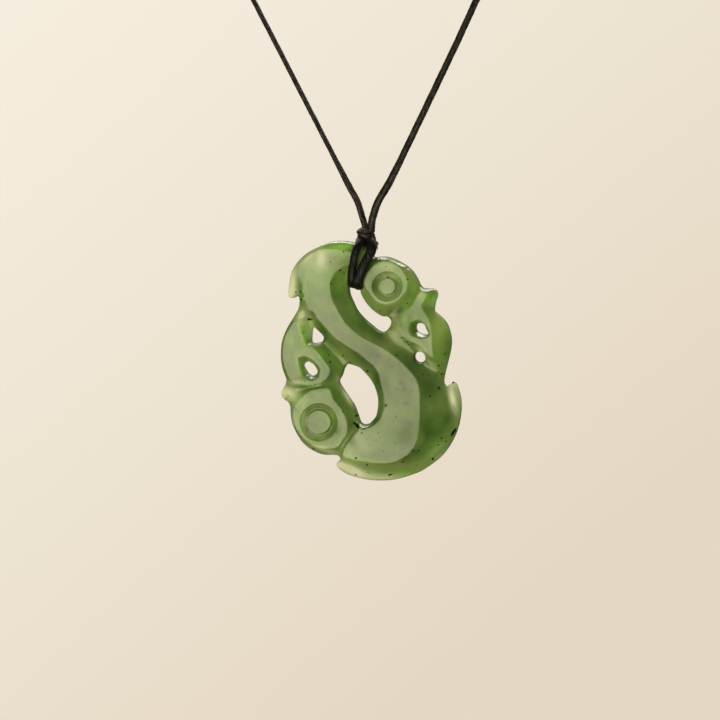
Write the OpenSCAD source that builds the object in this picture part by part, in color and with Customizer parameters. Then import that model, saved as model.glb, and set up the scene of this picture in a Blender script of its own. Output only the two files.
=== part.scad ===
// Carved greenstone pendant, a beaked two-headed figure, lashed to a black neck cord.
// The stone faces -Y and hangs below the origin, which is where the cord rests on the nape.

/* [Stone] */
// Height of the stone from its crown to its bottom edge
stone_h = 48; // [46:0.5:50]
// Thickness at the flat S-shaped ribbon
ribbon_t = 5; // [4.8:0.1:5.2]
// Thickness at the flat faces round the two eyes
head_t = 4.5; // [4.2:0.1:4.7]
// Thickness at the flat faces of the two wings
wing_t = 4.2; // [3.9:0.1:4.4]
// Thickness left at the bottom of the valleys between the faces
valley_t = 2.8; // [2.4:0.1:3.2]
// Depth of the ring cut round each eye
eye_cut = 0.7; // [0.4:0.1:0.9]

/* [Cord] */
// Diameter of the cord
cord_d = 1.2; // [1:0.05:1.2]
// Clearance between the cord and what it lies on
cord_gap = 0.12; // [0.08:0.01:0.14]

/* [Knots] */
// Radius of the wrapped knot above the stone
knot_r = 1.9; // [1.85:0.05:2.1]
// Height of the wrapped knot
knot_h = 2.1; // [1.8:0.1:2.1]
// Number of turns wound round the knot
knot_turns = 2; // [2:1:4]
// Length of the joining knot at the nape
nape_len = 7; // [5:0.5:9]
// Radius of the joining knot at the nape
nape_r = 1.7; // [1.5:0.1:2]

/* [Hidden] */

// The stone's tables are drawn for a stone 48 mm tall and scaled from there.
k = stone_h / 48;
// Names of the columns in the edge tables: across, up, and the stone's thickness there.
COL_T = 2;
// Spacing of the grid that carries the bevels, and a nudge that keeps its lines off the tables' points
grid = 0.87;
nudge = [0.037, 0.023];
// Steps that a smooth curve makes between two rows of its table
steps = 2;
// Room left for a cut to pass right through, and how far the bevels stay under a face's rim
over = 1;
skin = 0.02;

// Bottom of the wrapped knot: above the middle of the stone, and in the part's frame
knot_up = 24.6 * k;
knot_at = [-0.9 * k, -140, -152.4];
// Middle of the stone in the part's frame; it hangs from the knot
stone_y = knot_at.y;
stone_z = knot_at.z - knot_up;

// Outline, anticlockwise seen from the front. Columns: across, up, thickness at the edge.
crown_edge = [
    [0.7, 20.7, 2.8], [-0.8, 22.1, 3], [-1.8, 23, 3], [-3.6, 23.6, 3], [-6.2, 23.9, 3],
    [-9.6, 23.3, 4.2], [-13.3, 21.1, 4.4], [-15.7, 18.1, 4], [-16.8, 14.6, 1.6], [-17, 13, 1.2],
    [-16.4, 12.3, 1.2]];
left_wing_edge = [
    [-16.4, 12.3, 1.2], [-15.5, 12.5, 1.4], [-15, 12.8, 1.6], [-14.6, 12.5, 2], [-14.4, 11.8, 3],
    [-14.5, 10.6, 3.4], [-15.2, 9.2, 3.6], [-16.9, 6.4, 3.6], [-17.9, 3.8, 3.6], [-18.1, 1.8, 3.6],
    [-18.1, 0.1, 3.6], [-17.8, -1.7, 3.4], [-17.2, -3.9, 2.4]];
brow_edge = [
    [-17.2, -3.9, 2.4], [-17.5, -5, 1.6], [-18.2, -6.1, 1.3], [-18.4, -7.2, 1.3],
    [-17.8, -8.1, 1.4], [-16.9, -8.6, 1.8], [-16.4, -9.4, 2.4]];
lower_head_edge = [
    [-16.4, -9.4, 2.4], [-16.2, -11.2, 3], [-15.6, -13.6, 3], [-13.5, -17, 2.6],
    [-10.3, -18.9, 2.2], [-7.5, -19.1, 2], [-6.6, -19.3, 2], [-6.4, -19.7, 1.8]];
tail_tip_edge = [
    [-6.4, -19.7, 1.8], [-6.4, -20.1, 1.4], [-7, -20.6, 1.2], [-7.2, -21.4, 1.2],
    [-6.4, -22.2, 1.2]];
tail_edge = [
    [-6.4, -22.2, 1.2], [-4.8, -23.1, 1.4], [-1, -24, 1.8], [2.7, -24.1, 2], [5.5, -23.7, 2],
    [8.3, -22.8, 2.2], [10.7, -21.7, 2.2], [14.5, -18.7, 2.2], [17, -14.6, 2.2], [18, -10.6, 2],
    [18, -7.4, 1.6], [17.5, -5.5, 1.4], [17, -4.3, 1.2], [16.4, -4, 1.2]];
right_wing_edge = [
    [16.4, -4, 1.2], [15.7, -4.5, 1.6], [15.1, -4.8, 2], [14.6, -4.3, 2.2], [14.7, -3, 2.4],
    [15, -1.6, 2.4], [15.9, 2.1, 2.2], [16.1, 4.4, 2.2], [15.6, 6.6, 2.2], [14.9, 8, 2.2],
    [13.8, 9.1, 2.2], [12.7, 10, 2.4]];
beak_edge = [
    [12.7, 10, 2.4], [12.7, 10.8, 2.2], [12.9, 11.9, 1.8], [13.3, 13.2, 1.6], [13.2, 13.9, 1.6],
    [12.5, 14.5, 1.8], [10.6, 14.6, 2], [9.8, 15.3, 2.4]];
upper_head_edge = [
    [9.8, 15.3, 2.4], [9.1, 16.8, 2.4], [7.9, 18.4, 2.4], [5.8, 19.8, 2.4], [3.2, 20.8, 2.4],
    [0.7, 20.7, 2.8]];

// The slot for the cord and the big hole. Columns as above.
slot_left_edge = [
    [-4.6, 15.8, 3], [-4.5, 14.6, 3], [-4.3, 13.2, 3], [-3.7, 11.8, 3], [-2.8, 10, 3],
    [-1.5, 8.5, 3], [0, 7.2, 3], [1.4, 6.1, 3], [2.3, 5.8, 3], [3.2, 6.2, 3], [3.9, 7.1, 3],
    [4.1, 8, 3], [3.8, 8.6, 3], [3.2, 9, 3], [2.4, 9, 3], [1.1, 9.7, 3], [-0.2, 10.8, 3],
    [-1.3, 12.2, 3], [-2, 13.6, 3], [-2.1, 14.6, 3], [-1.75, 15.6, 3]];
big_hole_right_edge = [
    [-4.6, -0.6, 3], [-3.6, -0.8, 3.2], [-2.2, -1.3, 3.4], [-1, -2.4, 3.6], [0.2, -3.8, 3.8],
    [1.1, -5.5, 4], [1.6, -7.8, 4], [1.3, -10.6, 4], [0.5, -11.8, 3.8], [-0.5, -12.7, 3.4],
    [-1.4, -12.9, 3]];
big_hole_left_edge = [
    [-1.4, -12.9, 3], [-2, -12.6, 3], [-2.4, -11.9, 3], [-3.3, -9.4, 3], [-4.3, -7.8, 3],
    [-5.4, -6.2, 2.8], [-6.2, -5, 2.8], [-6.5, -4.1, 2.8], [-5.9, -3, 2.8], [-5.5, -1.7, 2.8],
    [-5, -0.9, 3], [-4.6, -0.6, 3]];

// Hole drilled at the slot's top, where the cord bears: across, up
drilled_at = [-3.15, 15.6];
drilled_r = 1.45;
drilled_rim_t = 3;

// Small pierced holes and the wider hollow that sinks to each. Columns: across, up.
left_tear = [
    [-11.8, 6.5], [-10.8, 5.8], [-9.8, 4.7], [-9.9, 3.9], [-10.5, 3.5], [-11.9, 3.45],
    [-12.1, 4.6]];
left_tear_sink = [[-12.9, 9], [-13.9, 7.4], [-14, 5.7], [-13.5, 3.9], [-12.5, 2.9], [-9.3, 3.6],
                  [-8.8, 4.9], [-10.6, 6.6]];
left_oval = [
    [-13.6, -1.1], [-13.1, -0.6], [-12.8, -0.45], [-12.2, -0.65], [-11.65, -1.1], [-11.15, -1.85],
    [-11, -2.5], [-11.5, -3.05], [-12.05, -3.25], [-12.75, -2.8], [-13.2, -2.2], [-13.55, -1.6]];
left_oval_sink = [
    [-14.8, 0.2], [-14.1, 0.6], [-12.9, 0.6], [-11.7, -0.1], [-10.6, -1.3], [-10.4, -2.4],
    [-11.1, -3.7], [-12.5, -4], [-13.8, -3.2], [-14.5, -1.6]];
right_drop = [
    [9.3, 7.5], [10.1, 7.6], [10.7, 7.2], [11, 6.4], [11.4, 5.6], [11, 5.3], [10, 5.5], [9.2, 6.1],
    [9, 6.9]];
right_drop_sink = [
    [7.6, 6.3], [7.9, 7.6], [8.8, 8.2], [9.8, 8.1], [10.6, 7.6], [11.3, 6.7], [11.7, 5.5],
    [11.2, 4.8], [10, 4.6], [8.6, 4.9], [7.9, 5.4]];
round_hole_at = [9.9, 0.9];
round_hole_r = 1.15;
// Thickness of stone left under the lip of a hollow
sink_floor = 1.6;

// Edges of the flat faces. Columns: across, up. They stand a little right of and above the
// outline at the back, by face_shift.
face_shift = [0.3, 0.2];
ribbon_right = [
    [-6.2, 18.1], [-7.1, 17.5], [-7.8, 16.5], [-8.2, 15.1], [-8, 13.3], [-7.4, 11.5], [-5.5, 8.1],
    [-4.1, 6.6], [-2.2, 5], [-0.2, 3.9], [1.9, 2.9], [3.9, 1.7], [5.7, 0.3], [7.4, -1.3],
    [8.8, -2.9], [9.6, -4.6], [9.9, -6.8], [9.9, -9.4], [9.8, -12.3], [9.5, -15], [8.8, -17.1]];
ribbon_foot = [
    [8.8, -17.1], [7.6, -18.5], [6, -19.6], [4.5, -20.2], [2.9, -20.5], [1.2, -20.5],
    [-0.8, -20.3], [-2.2, -20.1], [-5.9, -20.1]];
ribbon_cut = [
    [-5.9, -20.1], [-5.5, -18.2], [-4.5, -16.4], [-3.1, -14.7], [-2.1, -13.3]];
ribbon_left = [
    [-2.1, -13.3], [-1.6, -13.6], [-0.8, -13.5], [0.5, -12.9], [1.7, -11.8], [2.35, -10.5],
    [2.6, -8.5], [2.4, -6.3], [2.1, -4.6], [1.9, -3.2], [1.4, -1.8], [0.4, -0.7], [-0.6, 0.1],
    [-2.1, 1.4], [-4.1, 2.6], [-6.2, 3.9], [-7.8, 5.1], [-9.1, 6.6], [-10.5, 8], [-11.8, 8.9],
    [-12.9, 9.4]];
crown_face = [
    [-12.9, 9.4], [-13.6, 10.6], [-14, 11.8], [-14.3, 13.2], [-14.6, 15], [-15, 16.8],
    [-14.6, 18.4], [-12.9, 20.6], [-10.8, 21.9], [-9, 22.3], [-7.4, 22.3], [-5.6, 22.1],
    [-3.9, 21.7], [-2.8, 21], [-2.4, 20], [-3.1, 18.9], [-4.6, 18.3], [-6.2, 18.1]];
left_wing_face = [
    [-13.6, 10.4], [-13.2, 9.4], [-13.7, 8.2], [-14.1, 6.8], [-14.1, 5.4], [-13.5, 3.9],
    [-12.7, 3], [-11.8, 2.6], [-10.4, 1.1], [-9, -0.7], [-8.3, -2], [-8.7, -3.3], [-10.1, -4.5],
    [-12.1, -5.1], [-13.9, -5.3], [-15.6, -5], [-16.7, -3.6], [-17.4, -1.7], [-17.8, 0],
    [-17.9, 1.8], [-17.7, 3.6], [-16.8, 5.9], [-15.2, 8.5], [-14.3, 9.8]];
right_wing_face = [
    [5, 8.9], [5.9, 10], [7, 10.9], [8.3, 11.7], [8.6, 12.6], [9.6, 13.6], [10.3, 14],
    [11.2, 13.7], [11, 12.8], [10.5, 11.9], [10.1, 11], [10.6, 10], [11.4, 8.7], [11.9, 7.4],
    [12.2, 5.5], [12.2, 3.5], [12.4, 1.5], [12.7, 0.3], [11.6, 1], [10.9, 2.2], [10.3, 2.9],
    [8.8, 3.5], [7.4, 4.2], [6.1, 4.8], [5.1, 6.6], [4.8, 7.8]];
upper_head_face = [
    [-1.6, 15.6], [0.2, 12.9], [1.3, 11.8], [2.7, 11.1], [4.3, 10.8], [6, 11.9], [7.1, 13.6],
    [7.3, 15.9], [6.3, 18.2], [4.7, 19.6], [2.7, 19.9], [1, 19.4], [-0.4, 18.2], [-1.4, 16.9]];
lower_head_face = [
    [-13.6, -6.6], [-12.5, -6.1], [-10.8, -5.8], [-8.8, -5.6], [-8.1, -6.3], [-7.6, -7.7],
    [-6.6, -9], [-5.6, -10.4], [-5, -11.9], [-4.7, -13.3], [-5, -14.9], [-5.9, -16.3],
    [-6.8, -17.4], [-8.3, -17.7], [-10.8, -17.6], [-12.7, -16.6], [-14.3, -15.1], [-15.3, -13.3],
    [-15.8, -11.4], [-15.6, -9.7], [-14.7, -7.9]];

// Valleys between the faces. Columns: across, up.
valleys = [
    [[-13.2, 9.5], [-12.4, 8.3], [-9.5, 4.1], [-7.6, 1.7], [-4.9, -0.5]],
    [[-16.6, -4.2], [-14.6, -5.6], [-13.3, -5.7], [-9.4, -4.9], [-6.5, -4.3]],
    [[-2.6, -12.3], [-3.6, -14], [-5, -16.7], [-6.3, -19]],
    [[3.3, 5.6], [5.4, 3.9], [7.7, 2.3], [10.4, -0.3], [12.9, -1.8], [14.4, -3.4]],
    [[4, 9], [5.6, 10.9], [7.4, 12.2], [8.6, 14.2], [9.87, 15.13]],
    [[0.6, 20.4], [-1, 18.4], [-2, 17.2]]];
// The groove at the bottom of a valley: its depth and its radius at the bottom and at the top
groove_deep = 0.15;
groove_r = [0.05, 0.7];

// Eyes: across, up, radius of the disc, outer radius of the ring cut round it
eyes = [
    [3.25, 14.9, 1.62, 3], [-10.6, -12.45, 2.4, 3.65]];

// Routes of the lashing. Columns: across, side of the stone (-1 front, 1 back), up.
lash_left_route = [
    [-1.6, -0.4, 24], [-1.8, -0.6, 23.6], [-2.1, -0.85, 23.1], [-2.4, -1.02, 22.4],
    [-2.8, -1.02, 21.3], [-3.2, -1.02, 19.5], [-3.35, -1.02, 17.6], [-3.6, -0.96, 16.1],
    [-3.8, -0.65, 15.5], [-3.8, -0.2, 15.5], [-3.8, 0.65, 15.5], [-3.75, 1, 16.2],
    [-3.6, 1.03, 17.6], [-3.2, 1.02, 19.5], [-2.6, 1.02, 21.3], [-2.1, 1.04, 22.6],
    [-1.9, 1.06, 23.3], [-1.75, 0.9, 23.85], [-1.6, 0.4, 23.87]];
lash_right_route = [
    [-0.2, -0.4, 24], [0, -0.6, 23.6], [0.3, -0.85, 23.1], [0.4, -1.02, 22.3],
    [0.1, -1.02, 21.1], [-0.6, -1.02, 19.5], [-1.5, -1.02, 17.6], [-2.2, -0.98, 15.9],
    [-2.4, -0.7, 15.2], [-2.5, -0.2, 15.2], [-2.5, 0.65, 15.3], [-2.4, 1, 16.1],
    [-2, 1.03, 17.6], [-1.3, 1.02, 19.5], [-0.6, 1.02, 21.3], [-0.2, 1.02, 22.6],
    [-0.1, 1, 23.3], [-0.2, 0.72, 23.65], [-0.2, 0.4, 23.95]];

// Routes of the neck cord in the part's frame, from the wrapped knot to the nape.
neck_left_route = [
    [-1.7, -140, -150.2], [-1.8, -140, -148.6], [-2.7, -140, -145.4], [-4.5, -139.7, -142],
    [-10.5, -138.7, -130.8], [-19.1, -137, -114.8], [-30.4, -134, -94], [-42.3, -128, -72],
    [-53, -117, -51], [-60, -101, -34], [-62, -80, -21], [-59, -58, -12], [-51, -36, -6],
    [-38, -17, -2.5], [-21, -4, -0.6], [-7, 1.4, 0], [-3.7, 1.7, 0]];
neck_right_route = [
    [0, -140, -150.2], [0.2, -140, -148.6], [1.3, -140, -145.4], [4.1, -139.6, -140.4],
    [8.7, -138.7, -130.8], [16.2, -137, -114.8], [26.7, -134, -92], [38.8, -128, -70],
    [51, -117, -50], [59, -101, -34], [62, -80, -21], [59, -58, -12], [51, -36, -6],
    [38, -17, -2.5], [21, -4, -0.6], [7, 1.4, 0], [3.7, 1.7, 0]];

// Smooth curves through the rows of a table
function bend(a, b, c, d, t) =
    b + 0.5 * t * ((c - a) + t * ((2 * a - 5 * b + 4 * c - d) + t * (3 * (b - c) + d - a)));
function before(p, i) = i == 0 ? 2 * p[0] - p[1] : p[i - 1];
function after(p, i) = i == len(p) - 1 ? 2 * p[i] - p[i - 1] : p[i + 1];
function stretch(p, n) =
    [for (i = [0:len(p) - 2], j = [0:n - 1])
        bend(before(p, i), p[i], p[i + 1], after(p, i + 1), j / n)];
function open_curve(p, n) = concat(stretch(p, n), [p[len(p) - 1]]);
function ring_curve(p, n) =
    [for (i = [0:len(p) - 1], j = [0:n - 1], m = len(p))
        bend(p[(i + m - 1) % m], p[i], p[(i + 1) % m], p[(i + 2) % m], j / n)];
function flat(p) = [for (q = p) k * [q.x, q.y]];

// The outline and the two large openings, still with their thickness column
outline = concat(
    stretch(crown_edge, steps), stretch(left_wing_edge, steps), stretch(brow_edge, steps),
    stretch(lower_head_edge, steps), stretch(tail_tip_edge, steps), stretch(tail_edge, steps),
    stretch(right_wing_edge, steps), stretch(beak_edge, steps), stretch(upper_head_edge, steps));
slot_edge = open_curve(slot_left_edge, steps);
big_hole_edge = concat(stretch(big_hole_right_edge, steps), stretch(big_hole_left_edge, steps));

// The flat faces as closed rings, each with its thickness
ribbon_ring = concat(
    stretch(ribbon_right, steps), stretch(ribbon_foot, steps), stretch(ribbon_cut, steps),
    stretch(ribbon_left, steps), stretch(crown_face, steps));
function shifted(ring) = [for (q = ring) q + face_shift];
faces = [
    [shifted(ribbon_ring), ribbon_t], [shifted(ring_curve(left_wing_face, steps)), wing_t],
    [shifted(ring_curve(right_wing_face, steps)), wing_t],
    [shifted(ring_curve(upper_head_face, steps)), head_t],
    [shifted(ring_curve(lower_head_face, steps)), head_t]];

// Lines that the bevels fall to and rise to, as [across, up, thickness]
valley_line = [for (v = valleys, q = open_curve(v, 2 * steps + 1)) [q.x, q.y, valley_t]];
drilled_line = [for (a = [0:20:340])
    concat(drilled_at + drilled_r * [cos(a), sin(a)], [drilled_rim_t])];
low_line = concat(outline, slot_edge, big_hole_edge, valley_line, drilled_line);
high_line = [for (f = faces, q = f[0]) [q.x, q.y, f[1]]];

// Distance to the nearest point of a line, and that point's thickness
function nearest(x, y, line) =
    let (d = [for (q = line) norm([q.x - x, q.y - y])], m = min(d))
    [m, line[search(m, d)[0]][COL_T]];
function crossings(x, y, ring) =
    len([for (i = [0:len(ring) - 1])
        let (a = ring[i], b = ring[(i + 1) % len(ring)])
        if ((a.y > y) != (b.y > y) && x < a.x + (y - a.y) * (b.x - a.x) / (b.y - a.y)) 1]);
function inside(x, y, ring) = crossings(x, y, ring) % 2 == 1;

// Thickness of the stone at a point: a face where there is one, or else a bevel between
// the nearest face and the nearest rim or valley.
function thickness(x, y) =
    let (on = [for (f = faces) if (inside(x, y, f[0])) f[1]])
    len(on) > 0 ? max(on) - skin :
    let (low = nearest(x, y, low_line), high = nearest(x, y, high_line))
    low[1] + (high[1] - low[1]) * low[0] / max(skin, low[0] + high[0]);

// A block whose front follows the thickness of the stone; its back lies behind the stone's
module bevel_field() {
    nx = 44;
    ny = 57;
    x0 = nudge.x - grid * (nx - 1) / 2;
    y0 = nudge.y - grid * (ny - 1) / 2;
    front = [for (j = [0:ny - 1], i = [0:nx - 1])
        let (x = x0 + i * grid, y = y0 + j * grid) [k * x, k * y, thickness(x, y)]];
    back = [for (p = front) [p.x, p.y, -over]];
    n = nx * ny;
    cells = [for (j = [0:ny - 2], i = [0:nx - 2]) j * nx + i];
    rim = concat(
        [for (i = [0:nx - 2]) [i, i + 1]],
        [for (j = [0:ny - 2]) [j * nx + nx - 1, (j + 1) * nx + nx - 1]],
        [for (i = [0:nx - 2]) [n - 1 - i, n - 2 - i]],
        [for (j = [0:ny - 2]) [(ny - 1 - j) * nx, (ny - 2 - j) * nx]]);
    polyhedron(
        points = concat(front, back),
        faces = concat(
            [for (c = cells) [c, c + nx, c + nx + 1]],
            [for (c = cells) [c, c + nx + 1, c + 1]],
            [for (c = cells) [n + c, n + c + nx + 1, n + c + nx]],
            [for (c = cells) [n + c, n + c + 1, n + c + nx + 1]],
            [for (r = rim) [r[0], r[1], n + r[1]]],
            [for (r = rim) [r[0], n + r[1], n + r[0]]]),
        convexity = 10);
}

// The stone's outline with everything that is pierced through it
module pierced_outline() {
    difference() {
        polygon(flat(outline));
        polygon(flat(slot_edge));
        translate(k * drilled_at) circle(r = drilled_r * k, $fn = 40);
        polygon(flat(big_hole_edge));
        polygon(flat(ring_curve(left_tear, 3)));
        polygon(flat(ring_curve(left_oval, 2)));
        polygon(flat(ring_curve(right_drop, 2)));
        translate(k * round_hole_at) circle(r = round_hole_r * k, $fn = 24);
    }
}

// A hollow in a wing that sinks from its face to the edge of a small hole
module sink(hole, wide) {
    hull() {
        translate([0, 0, sink_floor]) linear_extrude(skin) polygon(flat(hole));
        translate([0, 0, wing_t]) linear_extrude(over) polygon(flat(shifted(wide)));
    }
}

// A V-shaped groove along a valley
module groove_point(at) {
    translate([k * at.x, k * at.y, valley_t - groove_deep])
        cylinder(h = over, r1 = groove_r[0], r2 = groove_r[1], $fn = 8);
}
module valley_cut(line) {
    for (i = [0:len(line) - 2])
        hull() {
            groove_point(line[i]);
            groove_point(line[i + 1]);
        }
}

// The ring cut round an eye, round-bottomed
module eye_ring(eye) {
    mid = (eye[2] + eye[3]) / 2;
    half = (eye[3] - eye[2]) / 2;
    translate([k * (eye[0] + face_shift.x), k * (eye[1] + face_shift.y), head_t])
        rotate_extrude($fn = 36)
            translate([k * mid, 0]) scale([k * half / eye_cut, 1]) circle(r = eye_cut, $fn = 12);
}

module manaia() {
    color("#86a35c")
        translate([0, stone_y + ribbon_t / 2, stone_z]) rotate([90, 0, 0])
            difference() {
                intersection() {
                    union() {
                        bevel_field();
                        for (f = faces) linear_extrude(f[1]) polygon(flat(f[0]));
                    }
                    linear_extrude(ribbon_t + over) pierced_outline();
                }
                for (v = valleys) valley_cut(v);
                for (e = eyes) eye_ring(e);
                sink(left_tear, left_tear_sink);
                sink(left_oval, left_oval_sink);
                sink(right_drop, right_drop_sink);
            }
}

// A round cord swept along a path, each ring turned as little as possible from the last
function unit(v) = v / norm(v);
function heading(p, i) = unit(p[min(i + 1, len(p) - 1)] - p[max(i - 1, 0)]);
function level(v, t) = unit(v - (v * t) * t);
function side_axes(p) =
    [for (i = 0, a = level([0.3, 1, 0.1], heading(p, 0)); i < len(p);
          i = i + 1, a = level(a, heading(p, min(i, len(p) - 1)))) a];
module cord(path, d) {
    sides = 8;
    a = side_axes(path);
    rings = [for (i = [0:len(path) - 1], j = [0:sides - 1])
        path[i] + d / 2 * (cos(360 * j / sides) * a[i]
            + sin(360 * j / sides) * cross(heading(path, i), a[i]))];
    last = (len(path) - 1) * sides;
    polyhedron(
        points = rings,
        faces = concat(
            [[for (j = [0:sides - 1]) j]],
            [for (i = [0:len(path) - 2], j = [0:sides - 1])
                [i * sides + j, (i + 1) * sides + j, (i + 1) * sides + (j + 1) % sides]],
            [for (i = [0:len(path) - 2], j = [0:sides - 1])
                [i * sides + j, (i + 1) * sides + (j + 1) % sides, i * sides + (j + 1) % sides]],
            [[for (j = [sides - 1:-1:0]) last + j]]),
        convexity = 10);
}

// The lashing's middle line stands this far from the middle of the stone, front and back
lash_out = ribbon_t / 2 + cord_gap + cord_d / 2;
function lash_path(route) =
    [for (q = route) [k * q[0], stone_y + q[1] * lash_out, stone_z + k * q[2]]];

module lashing_left() {
    color("#201f1d") cord(lash_path(lash_left_route), cord_d);
}

module lashing_right() {
    color("#201f1d") cord(lash_path(lash_right_route), cord_d);
}

module neck_cord_left() {
    color("#26241f") cord(open_curve(neck_left_route, 2), cord_d);
}

module neck_cord_right() {
    color("#26241f") cord(open_curve(neck_right_route, 2), cord_d);
}

// Turns of cord wound round a core, standing along Z
module binding_knot() {
    turn_h = knot_h / knot_turns;
    color("#2b2a27")
        translate(knot_at)
            rotate_extrude($fn = 48)
                union() {
                    translate([0, turn_h / 10]) square([knot_r - turn_h / 3, knot_h - turn_h / 5]);
                    for (i = [0:knot_turns - 1])
                        translate([knot_r - turn_h / 2, (i + 0.5) * turn_h]) circle(d = turn_h, $fn = 24);
                }
}

// Plain joining knot, lying along X, its front resting on the nape
module nape_knot() {
    color("#26241f")
        translate([-nape_len / 2, nape_r, 0]) rotate([0, 90, 0])
            cylinder(h = nape_len, r = nape_r, $fn = 40);
}

manaia();
lashing_left();
lashing_right();
binding_knot();
neck_cord_left();
neck_cord_right();
nape_knot();
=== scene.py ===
import math
import random

import bpy
import numpy as np
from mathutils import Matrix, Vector
from mathutils.geometry import delaunay_2d_cdt
from mathutils.kdtree import KDTree


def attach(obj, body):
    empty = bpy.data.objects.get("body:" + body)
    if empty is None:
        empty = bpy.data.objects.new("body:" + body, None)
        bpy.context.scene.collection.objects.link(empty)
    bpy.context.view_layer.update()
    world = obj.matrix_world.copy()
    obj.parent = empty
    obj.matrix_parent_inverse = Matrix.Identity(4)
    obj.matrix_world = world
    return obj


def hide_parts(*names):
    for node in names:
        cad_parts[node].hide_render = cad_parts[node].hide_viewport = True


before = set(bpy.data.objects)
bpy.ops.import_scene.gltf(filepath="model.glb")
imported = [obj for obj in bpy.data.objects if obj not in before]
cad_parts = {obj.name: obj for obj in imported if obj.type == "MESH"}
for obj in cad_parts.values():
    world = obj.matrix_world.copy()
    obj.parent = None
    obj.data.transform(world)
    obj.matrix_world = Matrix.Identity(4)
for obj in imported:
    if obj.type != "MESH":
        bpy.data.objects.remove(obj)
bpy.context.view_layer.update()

MM = 0.001
# Place of the stone's middle in the frame, in millimetres
STONE_Y, STONE_Z = -140, -177
STONE_MIDDLE = Vector((0, STONE_Y, STONE_Z)) * MM


def outward(azimuth, elevation):
    """The direction from the stone towards an azimuth and an elevation in degrees."""
    a, e = math.radians(azimuth), math.radians(elevation)
    return Vector((math.sin(a) * math.cos(e), -math.cos(a) * math.cos(e), math.sin(e)))


# Camera
def add_camera():
    """A long lens, turned a little to the object's left side and a little above it."""
    azimuth, elevation, distance = 8, 5, 0.7
    off_right, off_up = -2.2 * MM, 0.2 * MM
    data = bpy.data.cameras.new("camera")
    data.lens, data.sensor_width = 175, 36
    data.clip_start, data.clip_end = 0.05, 20
    cam = bpy.data.objects.new("camera", data)
    bpy.context.collection.objects.link(cam)
    back = outward(azimuth, elevation)
    cam.rotation_mode = "QUATERNION"
    cam.rotation_quaternion = (-back).to_track_quat("-Z", "Y")
    right = cam.rotation_quaternion @ Vector((1, 0, 0))
    up = cam.rotation_quaternion @ Vector((0, 1, 0))
    cam.location = STONE_MIDDLE + right * off_right + up * off_up + back * distance
    bpy.context.scene.camera = cam


# Curves and meshes
def catmull(rows, steps, closed=False):
    """A smooth curve through the rows of a table, one array row a point."""
    p = np.array(rows, float)
    if closed:
        a, b, c, d = np.roll(p, 1, 0), p, np.roll(p, -1, 0), np.roll(p, -2, 0)
    else:
        p = np.vstack([2 * p[0] - p[1], p, 2 * p[-1] - p[-2]])
        a, b, c, d = p[:-3], p[1:-2], p[2:-1], p[3:]
    t = (np.arange(steps) / steps)[None, :, None]
    a, b, c, d = (q[:, None] for q in (a, b, c, d))
    out = b + 0.5 * t * ((c - a) + t * ((2 * a - 5 * b + 4 * c - d) + t * (3 * (b - c) + d - a)))
    out = out.reshape(-1, p.shape[1])
    return out if closed else np.vstack([out, p[-2]])


def even(points, step):
    """The same line with points an even distance apart."""
    away = np.concatenate([[0], np.cumsum(np.linalg.norm(np.diff(points, axis=0), axis=1))])
    n = max(2, int(round(away[-1] / step)) + 1)
    at = np.linspace(0, away[-1], n)
    return np.column_stack([np.interp(at, away, points[:, i]) for i in range(points.shape[1])])


def smooth(a, b, x):
    """From 0 at a to 1 at b, in one soft step."""
    t = np.clip((x - a) / (b - a), 0, 1)
    return t * t * (3 - 2 * t)


def new_mesh(name, verts, faces):
    mesh = bpy.data.meshes.new(name)
    mesh.from_pydata([tuple(v) for v in verts], [], [tuple(map(int, f)) for f in faces])
    mesh.validate()
    mesh.shade_smooth()
    obj = bpy.data.objects.new(name, mesh)
    bpy.context.collection.objects.link(obj)
    return obj


def add_layer(obj, name, values):
    """One number a point, which the material reads by name."""
    layer = obj.data.attributes.new(name, "FLOAT", "POINT")
    layer.data.foreach_set("value", values.astype(np.float32))


def dress(obj, node, material):
    """The piece rides on the one body, stands for a CAD node and takes its finish."""
    obj.data.materials.append(material)
    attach(obj, "root")
    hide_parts(node)


# Cord, in millimetres: the neck cord's two sides from the binding knot upwards, and the hidden
# stretch from there to the nape, as it runs on the right side. Columns: across, back, up.
NECK_LEFT = [
    [-1.2, -140, -151.2], [-1.25, -140, -149.9], [-1.75, -140, -148.3], [-2.7, -140, -145.2],
    [-4.5, -139.7, -142], [-10.5, -138.7, -130.8], [-19.1, -137, -114.8], [-30.4, -134, -94],
    [-42.3, -128, -72], [-53, -117, -51], [-60, -101, -34]]
NECK_RIGHT = [
    [0, -140, -151.2], [0.1, -140, -149.9], [0.35, -140, -148.3], [1.4, -140, -145.2],
    [4.1, -139.6, -140.4], [8.7, -138.7, -130.8], [16.2, -137, -114.8], [26.7, -134, -92],
    [38.8, -128, -70], [51, -117, -50], [59, -101, -34]]
NECK_HIDDEN = [
    [62, -80, -21], [59, -58, -12], [51, -36, -6], [38, -17, -2.5], [21, -4, -0.6], [7, 1.4, 0],
    [3.2, 1.7, 0]]
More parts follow.
